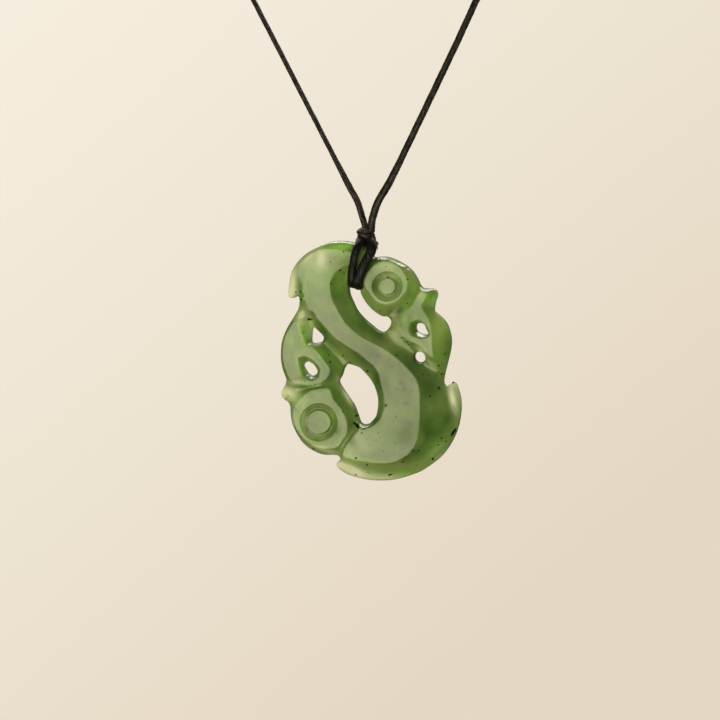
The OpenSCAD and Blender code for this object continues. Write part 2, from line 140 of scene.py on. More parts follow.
# Strands of the lashing, from inside the knot down the front, through the slot and up the back to
# the knot. Columns, from the stone's middle: across, side (-1 front, 1 back), up.
LASH_LEFT = [
    [-1.4, -0.2, 25.3], [-1.5, -0.5, 24.3], [-1.95, -0.85, 23.4], [-2.5, -1.02, 22.4],
    [-2.85, -1.04, 21.3], [-3.2, -1.04, 19.5], [-3.45, -1.04, 17.6], [-3.55, -0.98, 16.1],
    [-3.65, -0.6, 15.35], [-3.7, -0.2, 15.4], [-3.8, 0.65, 15.5], [-3.75, 1, 16.2],
    [-3.6, 1.03, 17.6], [-3.2, 1.03, 19.5], [-2.6, 1.03, 21.3], [-2.1, 1.04, 22.6],
    [-1.9, 1.06, 23.3], [-1.75, 0.9, 23.85], [-1.5, 0.2, 25.3]]
LASH_RIGHT = [
    [-0.2, -0.2, 25.3], [0, -0.5, 24.3], [0.35, -0.85, 23.4], [0.5, -1.02, 22.3],
    [-0.05, -1.04, 21.1], [-0.85, -1.04, 19.5], [-1.7, -1.04, 17.6], [-2.3, -1, 15.9],
    [-2.5, -0.6, 15], [-2.5, -0.2, 15.1], [-2.5, 0.65, 15.3], [-2.4, 1, 16.1], [-2, 1.03, 17.6],
    [-1.3, 1.03, 19.5], [-0.6, 1.03, 21.3], [-0.2, 1.03, 22.6], [-0.1, 1, 23.3],
    [-0.2, 0.72, 23.8], [-0.3, 0.2, 25.3]]
# How far out from the stone's middle plane a side of 1 lies
LASH_OUT = 3.2
# Place of the knot across, and its turns, of which the third crosses the others. Columns: up,
# lean, half width and half depth of the turn, half width and half thickness of its cord.
KNOT_X = -0.9
KNOT_TURNS = [
    [26, -0.25, 0.98, 1.25, 0.5, 0.52], [24.85, -0.25, 1.35, 1.25, 0.6, 0.52],
    [25.25, -0.8, 1.4, 1.5, 0.72, 0.45], [24.2, -0.35, 1.15, 1.2, 0.55, 0.5],
    [23.75, -0.4, 0.95, 1, 0.45, 0.45]]
# Frayed ends at the knot's two lower corners. Columns: across, up, reach outwards, hairs.
FRAYS = [[-2.3, 24.4, -0.6, 14], [0.8, 23.8, 0.7, 20]]
# Share of its thickness that is left at a hair's tip
HAIR_TIP = 0.2
HAIR_R, HAIR_SIDES = 0.12, 5
PLIES, PLY_DEPTH, ROUGHNESS = 3, 0.05, 0.04
CORD_SIDES, CORD_PITCH, KNOT_PITCH = 18, 16, 7
# A neck cord swells towards the knot between these distances from its lower end
SWOLLEN_TO, EVEN_FROM = 9, 18


def rope(path, half_wide, half_thin, wide, step=0.3, sides=CORD_SIDES, pitch=KNOT_PITCH,
         ply=PLY_DEPTH, grow=0, taper=False):
    """Points and faces of a twisted cord along a path, oval across, and each point's place round
    and along it. Its wide side starts along `wide` and turns as little as the path lets it; `grow`
    swells its first part, and a tapered one thins to its tip."""
    path = even(np.array(path, float), step)
    heading = np.gradient(path, axis=0)
    heading /= np.linalg.norm(heading, axis=1)[:, None]
    side = np.array(wide, float)
    angle = 2 * np.pi * np.arange(sides) / sides
    n = len(path)
    bumps = 1 + ROUGHNESS * np.random.default_rng(n).uniform(-1, 1, (n, sides))
    rings, lay = [], []
    for i, (at, h) in enumerate(zip(path, heading)):
        side = side - h * (side @ h)
        side /= np.linalg.norm(side)
        other = np.cross(h, side)
        turn = angle + 2 * np.pi * i * step / pitch
        lobe = bumps[i] * (1 - ply * (1 - np.abs(np.cos(PLIES / 2 * turn))))
        if taper:
            size = 1 - (1 - HAIR_TIP) * i / n
        else:
            size = 1 + grow * smooth(EVEN_FROM, SWOLLEN_TO, i * step)
        rings.append(at + size * lobe[:, None] * (half_wide * np.cos(angle)[:, None] * side
                                                  + half_thin * np.sin(angle)[:, None] * other))
        lay.append(np.column_stack([np.cos(turn), np.sin(turn), np.full(sides, i * step)]))
    faces = [(i * sides + j, i * sides + (j + 1) % sides, (i + 1) * sides + (j + 1) % sides,
              (i + 1) * sides + j) for i in range(n - 1) for j in range(sides)]
    faces += [tuple(range(sides))[::-1], tuple((n - 1) * sides + j for j in range(sides))]
    return np.vstack(rings), faces, np.vstack(lay)


def rope_piece(name, ropes):
    """One mesh of several ropes, which keeps each point's place round and along its rope."""
    verts, faces, lay, n = [], [], [], 0
    for v, f, l in ropes:
        verts.append(v)
        lay.append(l)
        faces += [tuple(i + n for i in face) for face in f]
        n += len(v)
    obj = new_mesh(name, np.vstack(verts) * MM, faces)
    attribute = obj.data.attributes.new("lay", "FLOAT_VECTOR", "POINT")
    attribute.data.foreach_set("vector", np.vstack(lay).astype(np.float32).ravel())
    return obj


def add_neck_cords(material):
    """The two strands from the binding knot to the nape, each turned its own way."""
    for node, rows, side, wide, half_wide, half_thin, grow in (
            ("neck_cord_left", NECK_LEFT, -1, (0.35, 1, 0), 0.61, 0.48, 0.28),
            ("neck_cord_right", NECK_RIGHT, 1, (1, -0.25, 0), 0.7, 0.54, 0.14)):
        path = catmull(rows + [[side * x, y, z] for x, y, z in NECK_HIDDEN], 6)
        cord = rope(path, half_wide, half_thin, wide, pitch=CORD_PITCH, grow=grow)
        dress(rope_piece(node + "_rope", [cord]), node, material)


def add_lashing(material):
    """The two strands through the slot, pressed flat against the stone."""
    half_thin = 0.6
    for node, rows, half_wide in (("lashing_left", LASH_LEFT, 0.84),
                                  ("lashing_right", LASH_RIGHT, 1)):
        path = catmull(rows, 5) * (1, LASH_OUT, 1) + (0, STONE_Y, STONE_Z)
        cord = rope(path, half_wide, half_thin, (1, 0, 0.1), step=0.2, pitch=CORD_PITCH)
        dress(rope_piece(node + "_rope", [cord]), node, material)


def knot_turn(up, lean, out_x, out_y, half_wide, half_thin):
    """One turn of cord round the bundle."""
    a = np.linspace(0, 2 * math.pi, 40)
    ring = np.column_stack([out_x * np.cos(a), out_y * np.sin(a), up + lean * np.cos(a)])
    return rope(ring + (KNOT_X, STONE_Y, STONE_Z), half_wide, half_thin, (0, 0, 1), step=0.2)


def frayed_end(x, up, reach, draw):
    """One loose hair, bowed outwards and thinner towards its tip."""
    start = np.array([x + draw.uniform(-0.25, 0.25), STONE_Y - draw.uniform(0.3, 1.6),
                      STONE_Z + up + draw.uniform(-0.5, 0.4)])
    end = start + (reach * draw.uniform(0.2, 1.1), -draw.uniform(-0.3, 0.7),
                   -draw.uniform(0.3, 1.1))
    bow = (start + end) / 2 + (0.3 * reach, -0.1, 0.1)
    return rope(catmull([start, bow, end], 4), HAIR_R, HAIR_R, (0, 1, 0.1), step=0.15,
                sides=HAIR_SIDES, ply=0, taper=True)


def add_binding_knot(material, frayed):
    """Turns round the bundle, a broad turn that crosses them, and frayed ends below."""
    draw = random.Random(4)
    turns = [knot_turn(*row) for row in KNOT_TURNS]
    ends = [frayed_end(x, up, reach, draw) for x, up, reach, hairs in FRAYS for _ in range(hairs)]
    dress(rope_piece("binding_knot_wraps", turns), "binding_knot", material)
    dress(rope_piece("binding_knot_frays", ends), "binding_knot", frayed)


def add_nape_knot(material):
    """A coil round the joined ends of the neck cord."""
    turns, long, out, cord_r, back = 6, 5.6, 1.12, 0.52, 1.7
    core_end, core_r = 3, 0.9
    a = np.linspace(0, 2 * math.pi * turns, 40 * turns)
    coil = np.column_stack([long * (a / a[-1] - 0.5), back + out * np.cos(a), out * np.sin(a)])
    core = [[-core_end, back, 0], [core_end, back, 0]]
    obj = rope_piece("nape_knot_wraps", [rope(coil, cord_r, cord_r, (1, 0, 0), step=0.25),
                                         rope(core, core_r, core_r, (0, 1, 0), step=0.5)])
    dress(obj, "nape_knot", material)


# Stone, in millimetres
RIBBON_T, HEAD_T, WING_T = 5, 4.5, 4.2
VALLEY_T, SLOT_RIM_T, SINK_FLOOR_T = 2.8, 3, 1.6
EYE_CUT = 0.7
# Radius of the worn edge at the front's rims and at the back's
FRONT_EASE, BACK_EASE = 0.3, 0.6
# How far the flat faces lie to the right of their tables' places and above them
FACE_SHIFT = (0.3, 0.2)
# Edges of the stone's outline, in turn from the crown down its left side and round. This and the
# next tables are in millimetres from the stone's middle, and each table of a loop starts where the
# one before it ends. Columns: across, up, thickness at the edge.
CROWN_EDGE = [
    [-0.8, 22.1, 3], [-1.8, 23, 3], [-3.6, 23.6, 3], [-6.2, 23.9, 3], [-9.6, 23.3, 4.2],
    [-13.3, 21.1, 4.4], [-15.7, 18.1, 4], [-16.8, 14.6, 1.6], [-17, 13, 1.2], [-16.4, 12.3, 1.2]]
LEFT_WING_EDGE = [
    [-15.5, 12.5, 1.4], [-15, 12.8, 1.6], [-14.6, 12.5, 2], [-14.4, 11.8, 3], [-14.5, 10.6, 3.4],
    [-15.2, 9.2, 3.6], [-16.9, 6.4, 3.6], [-17.9, 3.8, 3.6], [-18.1, 1.8, 3.6], [-18.1, 0.1, 3.6],
    [-17.8, -1.7, 3.4], [-17.2, -3.9, 2.4]]
BROW_EDGE = [
    [-17.5, -5, 1.6], [-18.2, -6.1, 1.3], [-18.4, -7.2, 1.3], [-17.8, -8.1, 1.4],
    [-16.9, -8.6, 1.8], [-16.4, -9.4, 2.4]]
LOWER_HEAD_EDGE = [
    [-16.2, -11.2, 3], [-15.6, -13.6, 3], [-13.5, -17, 2.6], [-10.3, -18.9, 2.2], [-7.5, -19.1, 2],
    [-6.6, -19.3, 2], [-6.4, -19.7, 1.8]]
TAIL_TIP_EDGE = [
    [-6.4, -20.1, 1.4], [-7, -20.6, 1.2], [-7.2, -21.4, 1.2], [-6.4, -22.2, 1.2]]
TAIL_EDGE = [
    [-4.8, -23.1, 1.4], [-1, -24, 1.8], [2.7, -24.1, 2], [5.5, -23.7, 2], [8.3, -22.8, 2.2],
    [10.7, -21.7, 2.2], [14.5, -18.7, 2.2], [17, -14.6, 2.2], [18, -10.6, 2], [18, -7.4, 1.6],
    [17.5, -5.5, 1.4], [17, -4.3, 1.2], [16.4, -4, 1.2]]
RIGHT_WING_EDGE = [
    [15.7, -4.5, 1.6], [15.1, -4.8, 2], [14.6, -4.3, 2.2], [14.7, -3, 2.4], [15, -1.6, 2.4],
    [15.9, 2.1, 2.2], [16.1, 4.4, 2.2], [15.6, 6.6, 2.2], [14.9, 8, 2.2], [13.8, 9.1, 2.2],
    [12.7, 10, 2.4]]
BEAK_EDGE = [
    [12.7, 10.8, 2.2], [12.9, 11.9, 1.8], [13.3, 13.2, 1.6], [13.2, 13.9, 1.6], [12.5, 14.5, 1.8],
    [10.6, 14.6, 2], [9.8, 15.3, 2.4]]
UPPER_HEAD_EDGE = [
    [9.1, 16.8, 2.4], [7.9, 18.4, 2.4], [5.8, 19.8, 2.4], [3.2, 20.8, 2.4], [0.7, 20.7, 2.8]]
OUTLINE = [CROWN_EDGE, LEFT_WING_EDGE, BROW_EDGE, LOWER_HEAD_EDGE, TAIL_TIP_EDGE, TAIL_EDGE,
           RIGHT_WING_EDGE, BEAK_EDGE, UPPER_HEAD_EDGE]
# Edges of the cord's slot and of the big opening in the middle, with the same columns
SLOT_LEFT_EDGE = [
    [-4.6, 15.8, 3], [-4.5, 14.6, 3], [-4.3, 13.2, 3], [-3.7, 11.8, 3], [-2.8, 10, 3],
    [-1.5, 8.5, 3], [0, 7.2, 3], [1.4, 6.1, 3], [2.3, 5.8, 3], [3.2, 6.2, 3], [3.9, 7.1, 3],
    [4.1, 8, 3], [3.8, 8.6, 3], [3.2, 9, 3], [2.4, 9, 3], [1.1, 9.7, 3], [-0.2, 10.8, 3],
    [-1.3, 12.2, 3], [-2, 13.6, 3], [-2.1, 14.6, 3], [-1.75, 15.6, 3]]
BIG_HOLE_RIGHT_EDGE = [
    [-3.6, -0.8, 3.2], [-2.2, -1.3, 3.4], [-1, -2.4, 3.6], [0.2, -3.8, 3.8], [1.1, -5.5, 4],
    [1.6, -7.8, 4], [1.3, -10.6, 4], [0.5, -11.8, 3.8], [-0.5, -12.7, 3.4], [-1.4, -12.9, 3]]
BIG_HOLE_LEFT_EDGE = [
    [-2, -12.6, 3], [-2.4, -11.9, 3], [-3.3, -9.4, 3], [-4.3, -7.8, 3], [-5.4, -6.2, 2.8],
    [-6.2, -5, 2.8], [-6.5, -4.1, 2.8], [-5.9, -3, 2.8], [-5.5, -1.7, 2.8], [-5, -0.9, 3],
    [-4.6, -0.6, 3]]
# The drilled upper end of the slot, and the round opening in the right wing
DRILLED_AT, DRILLED_R = (-3.15, 15.6), 1.45
ROUND_HOLE_AT, ROUND_HOLE_R = (9.9, 0.9), 1.15
# Small openings, each with the edge of the sunk rim round it. Columns: across, up.
LEFT_TEAR = [
    [-11.8, 6.5], [-10.8, 5.8], [-9.8, 4.7], [-9.9, 3.9], [-10.5, 3.5], [-11.9, 3.45],
    [-12.1, 4.6]]
LEFT_TEAR_SINK = [
    [-12.9, 9], [-13.9, 7.4], [-14, 5.7], [-13.5, 3.9], [-12.5, 2.9], [-9.3, 3.6], [-8.8, 4.9],
    [-10.6, 6.6]]
LEFT_OVAL = [
    [-13.75, -1.05], [-13.25, -0.5], [-12.8, -0.35], [-12.2, -0.65], [-11.65, -1.1],
    [-11.15, -1.85], [-11, -2.5], [-11.5, -3.05], [-12.05, -3.25], [-12.75, -2.8], [-13.2, -2.2],
    [-13.55, -1.6]]
LEFT_OVAL_SINK = [
    [-14.8, 0.2], [-14.1, 0.6], [-12.9, 0.6], [-11.7, -0.1], [-10.6, -1.3], [-10.4, -2.4],
    [-11.1, -3.7], [-12.5, -4], [-13.8, -3.2], [-14.5, -1.6]]
RIGHT_DROP = [
    [9.3, 7.5], [10.1, 7.6], [10.7, 7.2], [11, 6.4], [11.4, 5.6], [11, 5.3], [10, 5.5], [9.2, 6.1],
    [9, 6.9]]
RIGHT_DROP_SINK = [
    [7.6, 6.3], [7.9, 7.6], [8.8, 8.2], [9.8, 8.1], [10.6, 7.6], [11.3, 6.7], [11.7, 5.5],
    [11.2, 4.8], [10, 4.6], [8.6, 4.9], [7.9, 5.4]]
# Edges of the flat faces, with the same columns. The ribbon's follow each other round it.
RIBBON_RIGHT = [
    [-7.1, 17.5], [-7.8, 16.5], [-8.2, 15.1], [-8, 13.3], [-7.4, 11.5], [-5.5, 8.1], [-4.1, 6.6],
    [-2.2, 5], [-0.2, 3.9], [1.9, 2.9], [3.9, 1.7], [5.7, 0.3], [7.4, -1.3], [8.8, -2.9],
    [9.6, -4.6], [9.9, -6.8], [9.9, -9.4], [9.8, -12.3], [9.5, -15], [8.8, -17.1]]
RIBBON_FOOT = [
    [7.6, -18.5], [6, -19.6], [4.5, -20.2], [2.9, -20.5], [1.2, -20.5], [-0.8, -20.3],
    [-2.2, -20.1], [-5.9, -20.1]]
RIBBON_CUT = [
    [-5.5, -18.2], [-4.5, -16.4], [-3.1, -14.7], [-2.1, -13.3]]
RIBBON_LEFT = [
    [-1.6, -13.6], [-0.8, -13.5], [0.5, -12.9], [1.7, -11.8], [2.35, -10.5], [2.6, -8.5],
    [2.4, -6.3], [2.1, -4.6], [1.9, -3.2], [1.4, -1.8], [0.4, -0.7], [-0.6, 0.1], [-2.1, 1.4],
    [-4.1, 2.6], [-6.2, 3.9], [-7.8, 5.1], [-9.1, 6.6], [-10.5, 8], [-11.8, 8.9], [-12.9, 9.4]]
CROWN_FACE = [
    [-13.6, 10.6], [-14, 11.8], [-14.3, 13.2], [-14.6, 15], [-15, 16.8], [-14.6, 18.4],
    [-12.9, 20.6], [-10.8, 21.9], [-9, 22.3], [-7.4, 22.3], [-5.6, 22.1], [-3.9, 21.7], [-2.8, 21],
    [-2.4, 20], [-3.1, 18.9], [-4.6, 18.3], [-6.2, 18.1]]
LEFT_WING_FACE = [
    [-13.6, 10.4], [-13.2, 9.4], [-13.7, 8.2], [-14.1, 6.8], [-14.1, 5.4], [-13.5, 3.9],
    [-12.7, 3], [-11.8, 2.6], [-10.4, 1.1], [-9, -0.7], [-8.3, -2], [-8.7, -3.3], [-10.1, -4.5],
    [-12.1, -5.1], [-13.9, -5.3], [-15.6, -5], [-16.7, -3.6], [-17.4, -1.7], [-17.8, 0],
    [-17.9, 1.8], [-17.7, 3.6], [-16.8, 5.9], [-15.2, 8.5], [-14.3, 9.8]]
RIGHT_WING_FACE = [
    [5, 8.9], [5.9, 10], [7, 10.9], [8.3, 11.7], [8.6, 12.6], [9.6, 13.6], [10.3, 14],
    [11.2, 13.7], [11, 12.8], [10.5, 11.9], [10.1, 11], [10.6, 10], [11.4, 8.7], [11.9, 7.4],
    [12.2, 5.5], [12.2, 3.5], [12.4, 1.5], [12.7, 0.3], [11.6, 1], [10.9, 2.2], [10.3, 2.9],
    [8.8, 3.5], [7.4, 4.2], [6.1, 4.8], [5.1, 6.6], [4.8, 7.8]]
UPPER_HEAD_FACE = [
    [-1.6, 15.6], [0.2, 12.9], [1.3, 11.8], [2.7, 11.1], [4.3, 10.8], [6, 11.9], [7.1, 13.6],
    [7.3, 15.9], [6.3, 18.2], [4.7, 19.6], [2.7, 19.9], [1, 19.4], [-0.4, 18.2], [-1.4, 16.9]]
LOWER_HEAD_FACE = [
    [-13.6, -6.6], [-12.5, -6.1], [-10.8, -5.8], [-8.8, -5.6], [-8.1, -6.3], [-7.6, -7.7],
    [-6.6, -9], [-5.6, -10.4], [-5, -11.9], [-4.7, -13.3], [-5, -14.9], [-5.9, -16.3],
    [-6.8, -17.4], [-8.3, -17.7], [-10.8, -17.6], [-12.7, -16.6], [-14.3, -15.1], [-15.3, -13.3],
    [-15.8, -11.4], [-15.6, -9.7], [-14.7, -7.9]]
# Valleys where the bevels of neighbouring faces meet, with the same columns
VALLEYS = [
    [[-13.2, 9.5], [-12.4, 8.3], [-9.5, 4.1], [-7.6, 1.7], [-4.9, -0.5]],
    [[-16.6, -4.2], [-14.6, -5.6], [-13.3, -5.7], [-9.4, -4.9], [-6.5, -4.3]],
    [[-2.6, -12.3], [-3.6, -14], [-5, -16.7], [-6.3, -19]],
    [[3.3, 5.6], [5.4, 3.9], [7.7, 2.3], [10.4, -0.3], [12.9, -1.8], [14.4, -3.4]],
    [[4, 9], [5.6, 10.9], [7.4, 12.2], [8.6, 14.2], [9.87, 15.13]],
    [[0.6, 20.4], [-1, 18.4], [-2, 17.2]]]
# Eyes of the upper and the lower head. Columns: across, up, the ring's inner and outer radius.
EYES = [[3.25, 14.9, 1.62, 3], [-10.6, -12.45, 2.42, 3.78]]
# Ring cut round an eye. Columns: share of the way out from the disc, share of the full depth.
EYE_PROFILE = [[0, 0], [0.08, 0.8], [0.2, 1], [0.58, 0.52], [0.66, 0.43], [0.76, 0.4],
               [0.92, 0.22], [1, 0]]
# Patches on the front, from the top of the stone down. Columns of these tables: across, up, half
# length, half width, turn in degrees, amount. First, where the carving's edges stay crisp and where
# they melt.
CRISP = [
    [8.3, 12.5, 1.8, 1, 60, 1], [-7.6, 1.7, 2.4, 1.2, -42, 1], [-14.1, -4.9, 3.2, 1.2, 15, 1],
    [-6, -16.2, 2, 1, 60, 1]]
SOFT = [
    [-4.5, 18.4, 1.6, 1, 0, 0.7], [-13.8, 15.7, 2.8, 1.4, 85, 1], [7.1, 11.9, 1.6, 0.8, 40, 0.6],
    [-13.1, 10, 2.4, 1.6, 45, 1], [5.2, 8, 3.2, 1.6, 100, 1], [6, 4, 3.2, 1, -38, 1],
    [12.3, -0.4, 1.8, 0.8, -35, 1], [-16.3, -6.4, 2, 1.2, 0, 1], [2.7, -7.6, 2.4, 0.8, 90, 0.6],
    [16.9, -8.7, 4.4, 1.2, 85, 1], [-4.1, -21.3, 2.8, 1, -20, 1]]
# Where the polish is dull
DULL = [
    [3.4, 20.5, 1.4, 0.36, -12, 0.9], [5.1, 19.9, 1.6, 0.4, -25, 0.5],
    [-5.3, 19.6, 3.2, 1.6, 60, 0.5], [0.5, 15.8, 1.2, 2.4, 0, 0.3], [10.8, 14.5, 1.4, 0.6, 0, 0.7],
    [8.2, 12.7, 2, 1, 60, 0.9], [-3.6, 11.6, 1.6, 0.3, -70, 0.9], [6.3, 10.8, 1.8, 1, 75, 0.4],
    [6.3, 10.6, 1.8, 0.8, 35, 0.5], [5.4, 10, 1, 2.4, -10, 0.1], [-2.2, 9.8, 2, 0.8, -60, 0.3],
    [7.7, 8.9, 1.6, 1.6, 0, 0.25], [-1.5, 8.5, 1.6, 0.3, -52, 0.9], [9.9, 8, 2.8, 2.8, 0, 0.3],
    [5.9, 7.4, 1.8, 1.4, 90, 0.5], [4.2, 7.1, 1, 0.3, 70, 0.9], [0.7, 6.3, 1.6, 0.3, -40, 0.9],
    [1.9, 5.9, 2, 0.8, -42, 0.6], [2.7, 5.5, 1.2, 0.3, 0, 0.9], [-11.8, 3.8, 2, 1, 10, 1],
    [6, 3.6, 2.8, 1, -38, 0.35], [0.1, 2.4, 5.2, 1.8, -35, 0.32], [-7.6, 1.7, 3.2, 0.5, -42, 0.5],
    [11.5, 0.2, 1.8, 1.6, 0, 0.35], [-12.7, -3.3, 1.6, 0.6, 10, 1], [3.2, -3.6, 2.8, 2, -60, 0.2],
    [-14.1, -4.9, 3.2, 0.8, 15, 0.15], [7.2, -5.5, 4.4, 2, 95, 0.3],
    [13.7, -10.4, 2.8, 1.6, 0, 0.3], [-15.1, -10.9, 0.8, 2.4, 0, 0.25],
    [-7, -12.6, 2.2, 0.6, -80, 1], [-1.8, -13, 1.2, 0.8, 0, 0.4], [9.2, -13.5, 2.8, 2.8, 0, 0.3],
    [7, -14.8, 2.6, 2.4, 0, 0.42], [-8.4, -15.8, 1.4, 0.6, 35, 0.25],
    [-3.5, -16.1, 2.4, 0.8, -55, 0.5]]
# Painted highlights, and the painted glow of light through thin parts, where the front is paler
PAINTED_HIGHLIGHTS_AND_GLOW = [
    [-7.7, 21.8, 1.6, 0.8, 0, 0.1], [-12.2, 21.1, 2.8, 0.6, 38, 0.35],
    [-9.7, 20.8, 1.8, 1, 85, 0.45], [-8.9, 20, 1.8, 1.2, 85, 0.12],
    [-12.2, 19.9, 1.6, 1.2, 40, 0.2], [-10.4, 19.4, 2.4, 1.6, 85, 0.14],
    [3.3, 19.3, 2, 0.8, 0, 0.2], [3.4, 17.2, 2, 0.7, 5, 0.18], [-4.4, 16.1, 1.6, 0.6, 100, 0.08],
    [-15.9, 15.3, 3.4, 1.14, 80, 1], [10.3, 13.9, 1.2, 0.6, 60, 0.25],
    [-15.7, 13.7, 1, 0.8, 0, 0.5], [5.3, 12.3, 2, 0.8, 30, 0.12], [-13.5, 9.4, 1.6, 1.2, 0, 0.15],
    [-13.3, 8.7, 1.3, 0.95, -50, 0.29], [-14.1, 8, 1.4, 0.8, -50, 0.12],
    [-14.3, 7.6, 1.4, 0.6, -20, 0.2], [-12.7, 5.9, 1.4, 0.6, 80, 0.3],
    [-12, 5.8, 1.4, 0.5, 85, 0.6], [-10.6, 3.3, 0.8, 0.4, 0, 0.4], [10.3, 2.7, 1, 0.6, -40, 0.3],
    [10.2, 2.1, 1, 0.32, -35, 0.3], [12.1, -0.2, 1.4, 0.44, -48, 0.3],
    [-13.3, -1.2, 1.6, 0.4, -66, 0.35], [-14.5, -4, 1.8, 0.4, 5, 0.1],
    [-15.3, -4.4, 1.6, 0.4, 0, 0.3], [-14.7, -4.5, 1.8, 0.36, 2, 0.1],
    [-5.2, -6.3, 2.4, 0.45, -61, 0.62], [-4.8, -6.5, 2, 0.32, -62, 1.14],
    [-16.8, -6.6, 2.2, 1.4, -15, 0.85], [16.4, -7.2, 2.6, 0.64, -76, 0.95],
    [-10.5, -9, 2.2, 0.6, 5, 0.12], [-13.3, -11.7, 2.4, 0.6, 88, 0.25],
    [-15.5, -11.9, 4, 0.8, 85, 0.2], [-14.5, -12.7, 2.8, 1, -80, 0.1],
    [-12.3, -14.5, 1.2, 0.8, -40, 0.22], [-3.6, -14.7, 2.4, 1.4, 0, 0.06],
    [-10.5, -15.3, 2.2, 0.6, -8, 0.1], [-3.3, -17.5, 2.9, 1.7, 0, 0.18],
    [13.2, -17.8, 2.4, 0.7, 45, 0.14], [-9, -17.9, 2.3, 0.6, -18, 0.49],
    [13.9, -18.9, 2.4, 0.4, 42, 0.2], [-1.5, -20.3, 3.6, 0.8, -8, 0.1],
    [-4.4, -21.7, 3, 1, -22, 1.5], [-0.5, -22.2, 2.4, 1, 0, 0.15], [5.9, -23, 6, 0.6, 0, 0.08],
    [1.4, -23.3, 4.8, 0.8, 0, 0.45], [2.8, -23.7, 4.8, 0.32, 2, 0.35]]
# Painted shade, where the front is deeper green
PAINTED_SHADE = [
    [-7.3, 22, 2.2, 0.8, 10, 0.25], [-5.9, 21, 2.8, 1.6, 0, 0.3], [-3.5, 20.1, 1.8, 1.4, 70, 0.9],
    [8.5, 18.8, 2, 1.2, 110, 0.3], [-13.6, 16.5, 1.8, 0.7, 86, 0.85],
    [0.7, 15.4, 1.8, 0.5, 90, 0.5], [3.3, 15.3, 1.6, 1.6, 0, 0.25], [0.3, 15, 2.8, 1.2, 75, 0.35],
    [10.9, 14.5, 1.2, 0.4, 0, 0.9], [-5.1, 12.3, 4, 1.4, 110, 0.22],
    [-2.8, 11.2, 0.8, 0.6, 0, 0.2], [6.1, 10.4, 2, 0.8, 75, 0.5], [4.4, 10.2, 1.6, 1, 0, 0.25],
    [5.4, 10, 1.2, 2.6, -10, 0.2], [-10.1, 9.8, 3.9, 2.2, -54, 0.24],
    [-12.6, 8.6, 0.8, 1, 0, 0.35], [4.5, 8.4, 2.3, 0.95, 90, 0.99],
    [-14.9, 7.2, 0.8, 2.4, -10, 0.1], [0.3, 6.3, 4, 1.4, -35, 0.25],
    [-6.3, 5.2, 3.2, 1.2, -42, 0.12], [2, 5.1, 2, 1, -40, 0.6], [-4.9, 4.4, 2.8, 1.2, -40, 0.2],
    [8.9, 4.1, 2.4, 0.8, -35, 0.25], [-10.6, 3.3, 1, 0.6, 0, 0.8], [-7.1, 3.3, 2, 0.6, -42, 0.6],
    [0.2, 2.6, 6.1, 1.75, -38, 0.43], [-10.7, 1.8, 1.2, 0.8, -50, 0.3], [-3, 0.9, 4, 1, -42, 0.15],
    [-10.7, 0.8, 2.4, 0.8, -60, 0.5], [-9.1, 0.8, 2.4, 1.2, -45, 0.5],
    [-1.9, 0.8, 4, 1.6, -40, 0.5], [9.5, 0.7, 0.8, 0.8, 0, 0.8], [2.6, 0.4, 2.4, 1, -35, 0.15],
    [-0.9, 0.2, 2.6, 1.2, -45, 0.2], [9.4, 0.2, 1.2, 0.8, -40, 0.3], [11.5, 0.2, 2, 1.8, 0, 0.3],
    [-9.1, -0.2, 2, 1, -45, 0.4], [-7.7, -0.4, 2.8, 1.8, -50, 0.15], [8.2, -1.1, 4, 1.6, -50, 0.6],
    [-8, -2.2, 2.4, 2.6, 0, 0.5], [-9.1, -2.4, 1.6, 1.6, 0, 0.2], [-8.2, -2.8, 2, 1, -60, 0.15],
    [-12.4, -3, 1.6, 0.6, -50, 0.4], [1.7, -3.2, 2, 0.8, -65, 0.4], [-12.5, -3.4, 1, 0.4, 0, 0.4],
    [6.2, -3.5, 2.4, 1.2, -50, 0.14], [-14.1, -4.6, 2.8, 0.6, 12, 0.25],
    [-9.7, -4.6, 2.4, 1.6, 0, 0.2], [12.1, -4.6, 2.8, 2.8, 0, 0.7], [1.7, -5.2, 4, 1, -75, 0.6],
    [4.2, -5.2, 2.8, 1.6, -60, 0.25], [-11.6, -5.7, 2.4, 0.5, 0, 0.45],
    [-9.6, -5.8, 1.8, 0.6, 0, 0.3], [7.2, -5.9, 2, 3.8, 8, 0.25], [2.7, -6.6, 5.2, 0.8, 80, 0.5],
    [8, -6.9, 2.4, 1.2, -80, 0.14], [-8.8, -7.2, 2.8, 1.6, 0, 0.18],
    [3.6, -7.8, 3.6, 0.8, -85, 0.79], [15.2, -8, 1.8, 0.5, -80, 0.3],
    [-4.5, -8.4, 2.2, 0.7, -62, 0.45], [-5, -10.1, 4.4, 1, -55, 0.15],
    [-15.3, -10.9, 2.6, 0.7, 87, 0.52], [15.6, -11.6, 2, 1.2, 70, 0.5],
    [10.3, -11.7, 2.7, 3.1, 0, 0.35], [0.9, -12.1, 1.6, 0.8, 30, 0.5],
    [-7.2, -12.6, 2.2, 0.8, -75, 0.15], [12.2, -13.4, 2.2, 3.4, 10, 0.58],
    [13.5, -13.6, 4, 2, 60, 0.7], [-14.5, -14.3, 0.8, 0.8, 0, 0.4], [-5.4, -15.8, 2, 1.2, 60, 0.2],
    [-4.2, -15.9, 2, 0.8, 60, 0.2], [-3.5, -16.1, 2.4, 1, -55, 0.5], [-10, -16.5, 2, 0.5, 5, 0.4],
    [-5, -17.1, 2.6, 1, 60, 0.35], [9, -18, 3.2, 1.2, 38, 0.6], [10.9, -18, 2.4, 1.2, 45, 0.4],
    [13.9, -18.7, 4, 1.2, 40, 0.4], [10.5, -18.8, 3.6, 0.8, 35, 0.2]]
